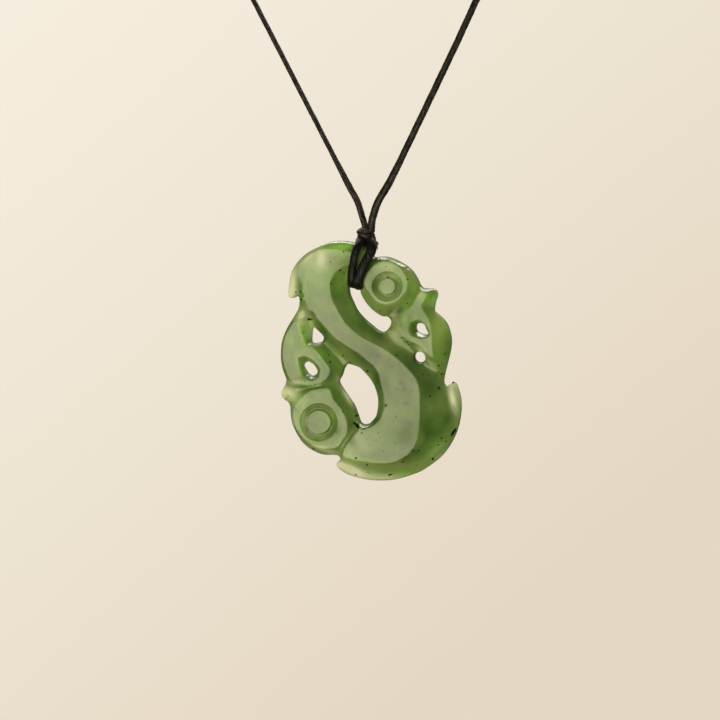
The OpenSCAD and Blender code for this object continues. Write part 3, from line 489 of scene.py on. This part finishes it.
# A painted glow of light inside the stone, where the front is brighter green
PAINTED_GLOW = [
    [-5.6, 23, 2.6, 0.7, 0, 0.95], [-8.9, 22.2, 2, 0.8, 20, 0.2], [-6.3, 21.8, 2.6, 1, 0, 0.18],
    [-5.3, 21, 2.4, 1, 0, 0.2], [-8.9, 17.4, 4, 2.8, 0, 0.22], [4.9, 16.9, 1.6, 1, -50, 0.3],
    [8.2, 16.5, 3, 1.4, 110, 0.4], [-4.4, 16.1, 1.6, 0.6, 100, 0.45],
    [-13.8, 15.5, 1.8, 0.6, 85, 0.1], [-6.1, 15.1, 1.6, 0.8, 90, 0.25],
    [-16.9, 14.8, 1, 4, 0, 0.3], [-9.5, 14, 2.8, 2.8, 0, 0.1], [-13.2, 13.7, 4.4, 0.8, 85, 0.2],
    [11.7, 13.5, 0.8, 1, 0, 0.15], [12.2, 12.4, 1.8, 1.4, 0, 0.5], [-4.1, 12.3, 4, 0.8, 110, 0.15],
    [7.3, 12.3, 2.2, 1.4, 50, 0.15], [6.9, 10.9, 1.2, 0.8, -40, 0.1],
    [11.1, 9.5, 1.6, 1.6, 0, 0.08], [9.7, 9.1, 1, 1.6, 30, 0.08], [6.9, 8.5, 0.6, 1, 0, 0.3],
    [-13.2, 8.2, 3.2, 1.2, -60, 0.12], [-14.1, 7.6, 1.4, 1, -50, 0.15],
    [8.8, 7.3, 1.6, 0.6, 80, 0.4], [13.8, 6.5, 4.8, 1.4, 88, 0.4], [-12.5, 6.1, 1, 1.4, 0, 0.3],
    [-13.5, 5.8, 2, 0.8, 85, 0.3], [-12.6, 5.5, 2.2, 0.9, 85, 1], [-16.1, 4.2, 2.4, 1, 85, 0.14],
    [-10.1, 1.8, 2, 0.8, -40, 0.25], [13.7, 0.9, 1.8, 1.6, 0, 0.08],
    [-10.5, 0.8, 2.4, 1.2, -60, 0.12], [-11.8, -0.1, 1.4, 0.8, -50, 0.25],
    [-7.7, -0.4, 2.8, 1.8, -50, 0.2], [-13.1, -0.8, 1, 0.8, -60, 0.3], [13, -1, 1, 0.8, 0, 0.15],
    [-13.7, -1.5, 1.75, 0.5, -66, 0.89], [-14, -4.7, 2.3, 0.6, 4, 0.19],
    [-11.1, -5.2, 2.8, 1, 0, 0.12], [-7.3, -6.2, 2, 0.8, -65, 0.05], [-10, -7, 2.8, 2, 0, 0.04],
    [-4.9, -7.3, 3.1, 1, -60, 0.24], [2.9, -7.6, 3.6, 0.6, -85, 0.1],
    [-14.1, -7.8, 2.4, 1.6, 0, 0.3], [1.9, -8.7, 2.4, 0.6, -85, 0.08],
    [3.8, -9, 2.8, 0.8, -80, 0.12], [-13.5, -11.5, 2.2, 0.7, 88, 0.2],
    [-7.9, -11.6, 1.8, 0.6, 90, 0.25], [13.5, -12.2, 1.8, 1.4, 0, 0.15],
    [-14.1, -12.6, 2.8, 1, -70, 0.2], [-9.4, -13.4, 2.4, 2.4, 0, 0.05],
    [-10.5, -15.2, 2, 0.6, -8, 0.1], [6.2, -15.6, 4.4, 2, 0, 0.07],
    [-5.2, -15.9, 2, 1.15, 60, 0.19], [3.8, -16.6, 3.2, 1.6, 0, 0.08],
    [12.5, -17, 3.6, 1.6, 45, 0.25], [-9, -17.2, 2.6, 1, -30, 0.15],
    [14.9, -17.7, 3.2, 1, 45, 0.08], [-2.3, -19.9, 3.2, 1, -5, 0.3],
    [3.1, -21.3, 5.6, 1.2, 0, 0.1], [5.9, -22.6, 6, 1, 0, 0.35]]
# A painted sheen, where the front is more olive
PAINTED_SHEEN = [
    [8.5, 17.4, 3.2, 1.4, 110, 0.5], [13.8, 14.3, 1.6, 1.6, 0, 0.1], [4.8, 8, 2.6, 0.8, 95, 0.7],
    [13.6, 7.4, 4.4, 1.2, 88, 0.45], [6, 3.8, 3, 1, -38, 0.15], [-5, 1.9, 2.8, 0.8, -40, 0.15],
    [14.4, -6.8, 1.6, 1.4, 90, 0.2], [-11.8, -17.5, 3.2, 0.8, -30, 0.6],
    [4.1, -20.9, 6.4, 1, 3, 0.45]]
# Grey haze, and the small grey marks after it
HAZE = [
    [7.2, -16.4, 2.6, 1.6, 20, 0.35], [0.8, 2.2, 5.7, 1.9, -38, 0.26],
    [7.8, -5.5, 1.8, 3.6, 10, 0.15], [-10.4, 8.9, 3.6, 1.8, -60, 0.1],
    [6.8, -14.8, 2.4, 2.2, 0, 0.42], [8.2, -12.3, 0.58, 0.48, 0, 2.2],
    [7.4, -8.1, 0.56, 0.36, 0, 1.6], [1.7, 1.2, 0.44, 0.48, 0, 1.8],
    [1.3, -0.2, 0.56, 0.38, 30, 1.9], [4.6, -0.9, 0.6, 0.28, 20, 1.5],
    [6.4, -4.1, 0.6, 0.4, 0, 1.8], [7, -5.3, 0.44, 0.4, 0, 1.9], [5.6, -5.3, 0.48, 0.28, 0, 1.4],
    [8.4, -5.7, 0.32, 0.28, 0, 1.4], [7.9, 9.3, 0.5, 0.4, 0, 0.4], [-15.6, 7.4, 0.3, 0.4, 0, 0.8],
    [-14.9, 7.3, 0.26, 0.32, 0, 0.8], [-15.9, 1.5, 0.32, 0.24, 0, 0.6],
    [-10.6, 0.2, 0.24, 0.2, 0, 0.6], [-15.3, -1, 0.32, 0.24, 0, 0.4],
    [-15.7, -3.5, 0.24, 0.24, 0, 0.6], [-15, -3.7, 0.3, 0.24, 0, 0.6],
    [-16.3, -9, 0.6, 0.3, 80, 0.3], [-14.3, -14.2, 0.5, 0.3, 0, 0.6]]
# Large dark flecks
LARGE_FLECKS = [
    [-2.8, -12.8, 0.84, 0.3, -40, 1.3], [16.6, -14.1, 0.96, 0.24, 58, 1.3],
    [3.9, -22.8, 0.48, 0.18, 15, 1.1]]
# Small dark flecks. Columns: across, up, half length.
SMALL_FLECKS = [
    [-12.4, 8.3, 0.32], [-11.8, 8.3, 0.2], [-9.1, 5.9, 0.24], [-8.1, -0.2, 0.22],
    [-8.4, 1.2, 0.16], [-0.5, -1.9, 0.26], [3.4, -8.6, 0.26], [-5.4, -10.1, 0.2],
    [-2.9, -11, 0.24], [-2.3, -11.4, 0.24], [12.1, -6.8, 0.2], [13.7, -5.2, 0.26],
    [14.3, -2.4, 0.24], [14.9, 1.6, 0.2], [13.7, -0.7, 0.24], [5.4, 1.4, 0.2], [10.7, -2.4, 0.16],
    [6.5, 4.9, 0.2], [7.5, 4, 0.2], [7.8, 3.5, 0.16], [16.4, -4.2, 0.24], [12.5, -19.5, 0.26],
    [9.9, -17.6, 0.2], [6.7, -20, 0.2], [14.3, -15.2, 0.2], [15.1, -15.9, 0.18],
    [13.7, -16.6, 0.18], [5.3, -16.2, 0.16], [8.8, -17.6, 0.18], [-2.7, -19.3, 0.28],
    [-0.5, -20.7, 0.22], [-3.1, -23, 0.2], [-11.5, -17.7, 0.24], [2.8, -17.8, 0.16],
    [0.1, -16.6, 0.14], [5.4, -10.8, 0.16], [-1.5, -14.2, 0.18], [1.8, -14.2, 0.16],
    [-15.1, 13.7, 0.24], [-13.9, 13.9, 0.26], [-13.9, 12.4, 0.28], [-7.8, 19.9, 0.16],
    [-5.2, 22, 0.2], [-5.9, 18.3, 0.24], [-5.2, 17.8, 0.18], [-7.7, 15.6, 0.18], [7.3, 18.8, 0.22],
    [7.5, 16.5, 0.2], [3.3, 19.1, 0.16], [3.6, 16.9, 0.18], [2, 10.2, 0.18], [0.1, 8.7, 0.18],
    [7.5, 11.7, 0.16], [-5.5, 1.1, 0.18], [-4.1, -0.2, 0.18]]
# Share of its length that a small fleck is wide, its turn and its amount
FLECK_WIDE, FLECK_TURN, FLECK_AMOUNT = 0.8, 20, 1.2
# Distances from a rim of the extra rows of points, which carry the worn edge
RIM_STEPS = (0.04, 0.12, 0.22, 0.34)
# Distances between points over the stone and over a fleck
SPACING, FLECK_SPACING = 0.2, 0.09
# How far the grid of points reaches from the stone's middle
GRID_X, GRID_Z = 18.5, 24.5
# How often a bevel's points move to their neighbours' mean, by which share at most, and how far
# from a face's edge that share is reached
MELT_TIMES, MELT_SHARE, MELT_REACH = 70, 0.25, 0.5
# Thickness at which a thin rim starts to be painted paler, as a painted glow of light through it, and
# at which it is palest, and how pale
THIN_FROM, THIN_TO, THIN_PALE = 2.2, 1.2, 0.5
# Share of each patch of painted highlight, glow, shade and sheen that shows on the back as well
BACK_TONE = 0.3


def joined(tables, spacing):
    """Tables that follow each other round a loop, as even points. Each starts at the last row of
    the one before it."""
    starts = [tables[-1][-1:]] + [rows[-1:] for rows in tables[:-1]]
    return np.vstack([even(catmull(start + rows, 8), spacing)[:-1]
                      for start, rows in zip(starts, tables)])


def closed(rows, spacing):
    """A table as one closed loop of even points."""
    c = catmull(rows, 8, closed=True)
    return even(np.vstack([c, c[:1]]), spacing)[:-1]


def circle(at, r, spacing, last=2 * math.pi):
    """Even points round a circle, or along its arc from the right up to the angle `last`."""
    n = max(8, int(round(r * last / spacing)))
    a = np.linspace(0, last, n, endpoint=False)
    return np.column_stack([at[0] + r * np.cos(a), at[1] + r * np.sin(a)])


def within(points, ring):
    """Which points lie inside a closed ring."""
    x, y = points[:, :1], points[:, 1:2]
    ax, ay = ring[:, 0], ring[:, 1]
    bx, by = np.roll(ax, -1), np.roll(ay, -1)
    with np.errstate(divide="ignore", invalid="ignore"):
        hit = ((ay > y) != (by > y)) & (x < ax + (y - ay) * (bx - ax) / (by - ay))
    return hit.sum(1) % 2 == 1


class Near:
    """Finds the nearest of many points, and its place in the list."""

    def __init__(self, points):
        self.tree = KDTree(len(points))
        for i, p in enumerate(points):
            self.tree.insert((p[0], p[1], 0), i)
        self.tree.balance()

    def __call__(self, points):
        found = [self.tree.find((p[0], p[1], 0))[1:] for p in points]
        return np.array([f[1] for f in found]), np.array([f[0] for f in found])


def apart(points, others, least):
    """The points that lie further than `least` from all the others."""
    return points[Near(others)(points)[0] > least]


def turned_into(points, x, y, long, wide, turned):
    """Places of the points in an oval's own directions, in its half lengths and half widths."""
    c, s = math.cos(math.radians(turned)), math.sin(math.radians(turned))
    u = ((points[:, 0] - x) * c + (points[:, 1] - y) * s) / long
    v = ((points[:, 1] - y) * c - (points[:, 0] - x) * s) / wide
    return u, v


def spots(points, rows):
    """Sum of a table's soft patches at each point."""
    out = np.zeros(len(points))
    for x, y, long, wide, turned, amount in rows:
        u, v = turned_into(points, x, y, long, wide, turned)
        out += amount * np.exp(-(u * u + v * v))
    return out


def mark_points(row):
    """A close grid over one small mark, so that its edge stays sharp."""
    x, y, long, wide, turned, _ = row
    cover = 1.7
    reach = cover * max(long, wide)
    at = np.arange(-reach, reach, FLECK_SPACING)
    points = np.array([(u, v) for u in at for v in at])
    u, v = turned_into(points, 0, 0, long, wide, turned)
    return points[u ** 2 + v ** 2 < cover ** 2] + (x, y)


FLECKS = LARGE_FLECKS + [[x, y, long, round(FLECK_WIDE * long, 2), FLECK_TURN, FLECK_AMOUNT]
                         for x, y, long in SMALL_FLECKS]
SMALL_MARKS = [row for row in HAZE if row[2] < 1]


class Stone:
    """The carved stone as a thickness over its pierced outline, in the units of the tables."""

    def __init__(self):
        shift = np.array(FACE_SHIFT)
        arc = circle(DRILLED_AT, DRILLED_R, SPACING, math.pi)
        arc = np.column_stack([arc, np.full(len(arc), SLOT_RIM_T)])
        self.outline = joined(OUTLINE, SPACING)
        self.slot = np.vstack([even(catmull(SLOT_LEFT_EDGE, 8), SPACING)[:-1], arc])
        self.big_hole = joined([BIG_HOLE_RIGHT_EDGE, BIG_HOLE_LEFT_EDGE], SPACING)
        self.small = [closed(rows, SPACING) for rows in (LEFT_TEAR, LEFT_OVAL, RIGHT_DROP)]
        self.loops = [self.outline, self.slot, self.big_hole, *self.small,
                      circle(ROUND_HOLE_AT, ROUND_HOLE_R, SPACING)]
        ribbon = joined([RIBBON_RIGHT, RIBBON_FOOT, RIBBON_CUT, RIBBON_LEFT, CROWN_FACE], SPACING)
        self.faces = [ribbon + shift] + [closed(rows, SPACING) + shift for rows in (
            LEFT_WING_FACE, RIGHT_WING_FACE, UPPER_HEAD_FACE, LOWER_HEAD_FACE)]
        self.face_t = [RIBBON_T, WING_T, WING_T, HEAD_T, HEAD_T]
        self.sinks = [closed(rows, SPACING) + shift
                      for rows in (LEFT_TEAR_SINK, LEFT_OVAL_SINK, RIGHT_DROP_SINK)]
        self.eyes = [(x + shift[0], y + shift[1], r1, r2) for x, y, r1, r2 in EYES]
        self.to_rim = Near(np.vstack([loop[:, :2] for loop in self.loops]))
        valleys = [even(catmull(v, 6), SPACING) for v in VALLEYS]
        self.low = np.vstack([self.outline, self.slot, self.big_hole] + [
            np.column_stack([v, np.full(len(v), VALLEY_T)]) for v in valleys])
        self.to_low = Near(self.low)
        self.to_high = Near(np.vstack(self.faces))
        self.high_t = np.concatenate([np.full(len(f), t) for f, t in zip(self.faces, self.face_t)])

    def edge_lines(self):
        """Points of every edge of the carving, and the pairs of them that triangles must join."""
        rings = self.loops + self.faces + self.sinks + [
            circle((x, y), r1 + share * (r2 - r1), SPACING)
            for x, y, r1, r2 in self.eyes for share, _ in EYE_PROFILE]
        pairs, first = [], 0
        for ring in rings:
            k = len(ring)
            pairs += [(first + i, first + (i + 1) % k) for i in range(k)]
            first += k
        return np.vstack([ring[:, :2] for ring in rings]), pairs

    def rim_points(self):
        """Rows of points on both sides of each rim, but not near another rim."""
        still_clear = 0.93
        rims = []
        for loop in self.loops:
            loop = loop[:, :2]
            along = np.roll(loop, -1, 0) - np.roll(loop, 1, 0)
            normal = np.column_stack([-along[:, 1], along[:, 0]])
            normal /= np.linalg.norm(along, axis=1)[:, None]
            for d in RIM_STEPS:
                for sign in (1, -1):
                    row = loop + sign * d * normal
                    rims.append(row[self.to_rim(row)[0] > d * still_clear])
        return np.vstack(rims)

    def grid_points(self):
        """Staggered rows of points over the whole stone."""
        step, triangle_height = SPACING * 1.15, 0.87
        xs = np.arange(-GRID_X, GRID_X, step)
        ys = np.arange(-GRID_Z, GRID_Z, step * triangle_height)
        return np.array([(x + (0.5 * step if j % 2 else 0), y) for j, y in enumerate(ys) for x in xs])

    def plan(self):
        """Triangles over the pierced outline that follow every edge of the carving."""
        grid_gap, rim_gap, mark_gap, grid_to_mark = 0.62 * SPACING, 0.03, 0.05, 0.1
        lines, pairs = self.edge_lines()
        rims = self.rim_points()
        grid = apart(self.grid_points(), np.vstack([lines, rims]), grid_gap)
        rims = apart(rims, lines, rim_gap)
        marks = np.vstack([mark_points(row) for row in FLECKS + SMALL_MARKS])
        marks = apart(marks, np.vstack([lines, rims]), mark_gap)
        grid = apart(grid, marks, grid_to_mark)
        points = [Vector(p) for p in np.vstack([lines, rims, grid, marks]).tolist()]
        out = delaunay_2d_cdt(points, pairs, [], 0, 1e-4, False)
        verts, tris = np.array([tuple(v) for v in out[0]]), np.array(out[2])
        middle = verts[tris].mean(1)
        keep = within(middle, self.outline)
        for loop in self.loops[1:]:
            keep &= ~within(middle, loop)
        return self.faced_front(verts, tris[keep])

    @staticmethod
    def faced_front(verts, tris):
        """The triangles turned the same way round, with only the points that they use."""
        a, b, c = verts[tris[:, 0]], verts[tris[:, 1]], verts[tris[:, 2]]
        area = (b[:, 0] - a[:, 0]) * (c[:, 1] - a[:, 1]) - (b[:, 1] - a[:, 1]) * (c[:, 0] - a[:, 0])
        tris[area < 0] = tris[area < 0][:, ::-1]
        used = np.unique(tris)
        place = np.full(len(verts), -1)
        place[used] = np.arange(len(used))
        return verts[used], place[tris]

    def front(self, p, tris):
        """Thickness at each point: flat faces, bevels, melted edges, the sunk rims of the small
        openings and the rings of the eyes."""
        touching = 0.01
        low_d, low_i = self.to_low(p)
        high_d, high_i = self.to_high(p)
        low, high = self.low[low_i, 2], self.high_t[high_i]
        inside = np.zeros(len(p), bool)
        for f, t in zip(self.faces, self.face_t):
            on = within(p, f)
            high[on] = t
            inside |= on
        on_edge = high_d < touching
        slope = low + (high - low) * low_d / np.maximum(low_d + high_d, touching)
        t = np.where(inside | on_edge, high, slope)
        melting = 1 - np.clip(spots(p, CRISP), 0, 1)
        free = np.where(inside | on_edge, 0, MELT_SHARE * melting * smooth(0, MELT_REACH, high_d))
        free = np.maximum(free, np.clip(spots(p, SOFT), 0, 1))
        free[self.to_rim(p)[0] < touching] = 0
        t = self.melted(t, tris, free)
        for hole, wide in zip(self.small, self.sinks):
            inner, outer = Near(hole)(p)[0], Near(wide)(p)[0]
            rise = (WING_T - SINK_FLOOR_T) * inner / np.maximum(inner + outer, touching)
            t = np.where(within(p, wide), np.minimum(t, SINK_FLOOR_T + rise), t)
        for x, y, r1, r2 in self.eyes:
            share = (np.hypot(p[:, 0] - x, p[:, 1] - y) - r1) / (r2 - r1)
            cut = np.interp(share, *np.array(EYE_PROFILE).T)
            t = t - EYE_CUT * np.where((share > 0) & (share < 1), cut, 0)
        return t

    @staticmethod
    def melted(t, tris, free):
        """Each point moves to its neighbours' mean by its share of freedom, many times."""
        a = np.concatenate([tris[:, 0], tris[:, 1], tris[:, 2]])
        b = np.concatenate([tris[:, 1], tris[:, 2], tris[:, 0]])
        a, b = np.concatenate([a, b]), np.concatenate([b, a])
        count = np.maximum(np.bincount(a, minlength=len(t)), 1)
        for _ in range(MELT_TIMES):
            t = t + free * (np.bincount(a, t[b], minlength=len(t)) / count - t)
        return t


def eased(away, r):
    """How far a worn edge of radius r lies below the flat, at each distance from the rim."""
    d = np.clip(r - away, 0, r)
    return r - np.sqrt(np.maximum(r * r - d * d, 0))


def stone_tones(flat, t):
    """Amount of each patch colour, of clearness and of gloss at each point of the front."""
    # pale holds painted highlights and painted glow through thin rims, deep painted shade, bright
    # painted glow inside the stone, olive a painted sheen
    tones = {
        "pale": smooth(THIN_FROM, THIN_TO, t) * THIN_PALE + spots(flat, PAINTED_HIGHLIGHTS_AND_GLOW),
        "deep": spots(flat, PAINTED_SHADE), "bright": spots(flat, PAINTED_GLOW), "olive": spots(flat, PAINTED_SHEEN),
        "fleck": smooth(0.3, 0.55, spots(flat, FLECKS)), "haze": spots(flat, HAZE)}
    veils = [tones["fleck"], 0.8 * tones["haze"], 0.7 * np.clip(tones["pale"], 0, 1)]
    tones["clear"] = 1 - np.maximum.reduce(veils)
    tones["gloss"] = 0.5 * (1 - np.clip(spots(flat, DULL) + 0.6 * tones["fleck"], 0, 1))
    return tones


def add_stone(material):
    stone = Stone()
    flat, tris = stone.plan()
    n = len(flat)
    away = stone.to_rim(flat)[0]
    t = stone.front(flat, tris)
    verts = np.vstack([
        np.column_stack([flat[:, 0], STONE_Y + RIBBON_T / 2 - h, STONE_Z + flat[:, 1]])
        for h in (t - eased(away, FRONT_EASE), eased(away, BACK_EASE))]) * MM
    sides = {(a, b) for tri in tris.tolist() for a, b in zip(tri, tri[1:] + tri[:1])}
    walls = [(a, n + a, n + b, b) for a, b in sides if (b, a) not in sides]
    faces = tris.tolist() + (tris[:, ::-1] + n).tolist() + sorted(walls)
    obj = new_mesh("manaia_stone", verts, faces)
    # The layers of painted light, pale, deep, bright and olive, show at a share of BACK_TONE on the
    # back
    for name, value in stone_tones(flat, t).items():
        value = np.clip(value, 0, 1)
        behind = value * BACK_TONE if name in ("pale", "deep", "bright", "olive") else value
        add_layer(obj, name, np.concatenate([value, behind]))
    dress(obj, "manaia", material)


# Materials
def srgb(r, g, b):
    """A colour given as seen on a screen, 0 to 255."""
    return tuple(c / 12.92 if c <= 0.04045 else ((c + 0.055) / 1.055) ** 2.4
                 for c in (r / 255, g / 255, b / 255)) + (1,)


class Nodes:
    """Short ways to add nodes to a material or to the world."""

    def __init__(self, owner):
        owner.use_nodes = True
        self.nodes, self.links = owner.node_tree.nodes, owner.node_tree.links
        self.nodes.clear()

    def put(self, socket, value):
        if isinstance(value, bpy.types.NodeSocket):
            self.links.new(value, socket)
        else:
            socket.default_value = value

    def attribute(self, name, output="Fac"):
        node = self.nodes.new("ShaderNodeAttribute")
        node.attribute_name = name
        return node.outputs[output]

    def coordinate(self, kind):
        return self.nodes.new("ShaderNodeTexCoord").outputs[kind]

    def ramp(self, value, low, high, out_low=0, out_high=1):
        """The value between low and high, spread over the range from out_low to out_high."""
        node = self.nodes.new("ShaderNodeMapRange")
        for name, number in (("Value", value), ("From Min", low), ("From Max", high),
                             ("To Min", out_low), ("To Max", out_high)):
            self.put(node.inputs[name], number)
        return node.outputs[0]

    def noise(self, vector, scale, detail, *ramp):
        node = self.nodes.new("ShaderNodeTexNoise")
        for name, value in (("Vector", vector), ("Scale", scale), ("Detail", detail)):
            self.put(node.inputs[name], value)
        return self.ramp(node.outputs["Fac"], *ramp)

    def mix(self, base, colour, factor):
        node = self.nodes.new("ShaderNodeMix")
        node.data_type = "RGBA"
        for name, value in (("Factor", factor), ("A", base), ("B", colour)):
            self.put(node.inputs[name], value)
        return node.outputs["Result"]

    def combine(self, kind, operation, a, b):
        """A Math or VectorMath node of two inputs."""
        node = self.nodes.new("ShaderNode" + kind)
        node.operation = operation
        self.put(node.inputs[0], a)
        self.put(node.inputs[1], b)
        return node.outputs["Value"]

    def times(self, a, b):
        return self.combine("Math", "MULTIPLY", a, b)


class Shader(Nodes):
    """A material with one Principled shader."""

    def __init__(self, name):
        self.material = bpy.data.materials.new(name)
        super().__init__(self.material)
        out = self.nodes.new("ShaderNodeOutputMaterial")
        self.bsdf = self.nodes.new("ShaderNodeBsdfPrincipled")
        self.links.new(self.bsdf.outputs[0], out.inputs[0])

    def set(self, name, value):
        self.put(self.bsdf.inputs[name], value)

    def bump(self, height, strength, distance):
        node = self.nodes.new("ShaderNodeBump")
        for name, value in (("Height", height), ("Strength", strength), ("Distance", distance)):
            self.put(node.inputs[name], value)
        self.set("Normal", node.outputs[0])


def greenstone():
    """Translucent polished stone: clouds, then each table's patches of painted light, specks, haze
    and flecks.
    """
    s = Shader("greenstone")
    place = s.coordinate("Object")
    cloud = s.noise(place, 150, 3, 0.35, 0.65)
    colour = s.mix(srgb(82, 112, 42), srgb(130, 152, 84), cloud)
    # Painted light: painted shade (deep), painted glow inside the stone (bright), painted sheen
    # (olive), painted highlights and glow through thin rims (pale)
    for name, tone in (("deep", srgb(62, 90, 28)), ("bright", srgb(164, 216, 92)),
                       ("olive", srgb(158, 166, 102)), ("pale", srgb(240, 242, 210))):
        colour = s.mix(colour, tone, s.attribute(name))
    speck = s.times(s.noise(place, 1100, 1, 0.66, 0.74), 0.35)
    colour = s.mix(colour, srgb(44, 66, 26), speck)
    colour = s.mix(colour, srgb(84, 88, 80), s.times(s.attribute("haze"), 0.8))
    colour = s.mix(colour, srgb(14, 20, 10), s.attribute("fleck"))
    s.set("Base Color", colour)
    s.set("Specular IOR Level", s.attribute("gloss"))
    s.set("Roughness", s.noise(place, 260, 4, 0.3, 0.7, 0.17, 0.25))
    s.set("IOR", 1.61)
    s.set("Subsurface Weight", s.attribute("clear"))
    s.set("Subsurface Radius", (0.8, 1.2, 0.4))
    s.set("Subsurface Scale", MM)
    return s.material


def waxed_cord(name, fibres, wax=0.5):
    """Black cord with fibres of the colour given, whose paler streaks are partly painted highlight
    streaks, and wax that catches the light.
    """
    s = Shader(name)
    stretch = s.nodes.new("ShaderNodeMapping")
    s.put(stretch.inputs["Vector"], s.attribute("lay", "Vector"))
    s.put(stretch.inputs["Scale"], (1.3, 1.3, 0.15))
    fibre = s.noise(stretch.outputs[0], 3, 4, 0.5, 0.62)
    s.set("Base Color", s.mix(srgb(2, 2, 2), fibres, fibre))
    s.bump(fibre, 1, 0.25 * MM)
    s.set("Roughness", 0.45)
    s.set("Specular IOR Level", wax)
    return s.material


# Stage
def add_floor():
    """A pale round floor under the hanging piece. It fades out towards its rim."""
    level, sides = -0.45, 96
    rings = ((0.25, 1), (0.55, 1), (0.8, 0))
    a = np.linspace(0, 2 * math.pi, sides, endpoint=False)
    verts = np.vstack([np.column_stack([r * np.cos(a), r * np.sin(a), np.full(sides, level)])
                       for r, _ in rings])
    faces = [tuple(range(sides))]
    for k in range(len(rings) - 1):
        near, far = k * sides, (k + 1) * sides
        faces += [(near + i, far + i, far + (i + 1) % sides, near + (i + 1) % sides)
                  for i in range(sides)]
    obj = new_mesh("floor", verts, faces)
    add_layer(obj, "cover", np.repeat([cover for _, cover in rings], sides))
    s = Shader("floor")
    s.set("Base Color", srgb(222, 210, 190))
    s.set("Roughness", 0.9)
    s.set("Alpha", s.attribute("cover"))
    obj.data.materials.append(s.material)
    obj.visible_diffuse = obj.visible_glossy = False


def add_light(name, azimuth, elevation, distance, size, strength, colour, mirrored=True):
    """A soft box turned to the stone. Strength is how bright its surface looks."""
    at = STONE_MIDDLE + distance * outward(azimuth, elevation)
    data = bpy.data.lights.new(name, "AREA")
    data.shape, data.size, data.size_y = "RECTANGLE", size[0], size[1]
    data.energy, data.color = strength * math.pi * size[0] * size[1], colour
    obj = bpy.data.objects.new(name, data)
    bpy.context.collection.objects.link(obj)
    obj.location = at
    obj.rotation_mode = "QUATERNION"
    obj.rotation_quaternion = (STONE_MIDDLE - at).to_track_quat("-Z", "Y")
    obj.visible_camera = False
    obj.visible_glossy = mirrored


def add_lights():
    """A box that the polish mirrors, one behind for the upper rims, and two that only fill."""
    add_light("mirror_box", -20, -10, 0.65, (0.6, 0.6), 3.7, (1, 0.96, 0.66))
    add_light("rim", 184, 42, 0.7, (0.7, 0.3), 5, (1, 0.98, 0.94))
    add_light("fill", 75, 25, 0.7, (0.6, 0.6), 1.9, (1, 0.98, 0.9), mirrored=False)
    add_light("behind", -140, 15, 0.8, (0.9, 0.9), 1.6, (1, 0.97, 0.88), mirrored=False)


def add_world():
    """Cream behind the object for the camera; for its light, dim in front and bright behind."""
    scene = bpy.context.scene
    scene.view_settings.view_transform = "Standard"
    scene.world = bpy.data.worlds.new("studio")
    w = Nodes(scene.world)
    direction = w.coordinate("Generated")

    def along(axis, low, high):
        """From 0 to 1 as the direction turns towards the axis."""
        return w.ramp(w.combine("VectorMath", "DOT_PRODUCT", direction, axis), low, high)

    # Painted light falloff on the backdrop, a slant from the upper left corner of the main view,
    # lighter, to its lower right one, darker
    painted_falloff = along((0.62, 0.14, -0.77), -0.05, 0.2)
    seen = w.mix(srgb(247, 241, 227), srgb(229, 216, 195), painted_falloff)
    behind = along((0, 0.64, 0.77), 0.84, 0.93)
    lit = w.mix((0.14, 0.13, 0.11, 1), (1, 0.96, 0.88, 1), behind)
    out, pick = w.nodes.new("ShaderNodeOutputWorld"), w.nodes.new("ShaderNodeMixShader")
    for i, colour in ((1, lit), (2, seen)):
        background = w.nodes.new("ShaderNodeBackground")
        w.put(background.inputs[0], colour)
        w.put(pick.inputs[i], background.outputs[0])
    w.put(pick.inputs[0], w.nodes.new("ShaderNodeLightPath").outputs["Is Camera Ray"])
    w.put(out.inputs[0], pick.outputs[0])


add_camera()
# Fibre colours are partly painted highlights: lighter on the knot, near white on the frayed hairs,
# which are partly painted glints
neck_cord = waxed_cord("neck_cord", srgb(74, 60, 49))
add_neck_cords(neck_cord)
add_nape_knot(neck_cord)
add_lashing(waxed_cord("lashing_cord", srgb(34, 30, 26), wax=0.28))
add_binding_knot(waxed_cord("knot_cord", srgb(112, 104, 92), wax=0.7),
                 waxed_cord("frayed_cord", srgb(225, 218, 200)))
add_stone(greenstone())
add_floor()
add_world()
add_lights()
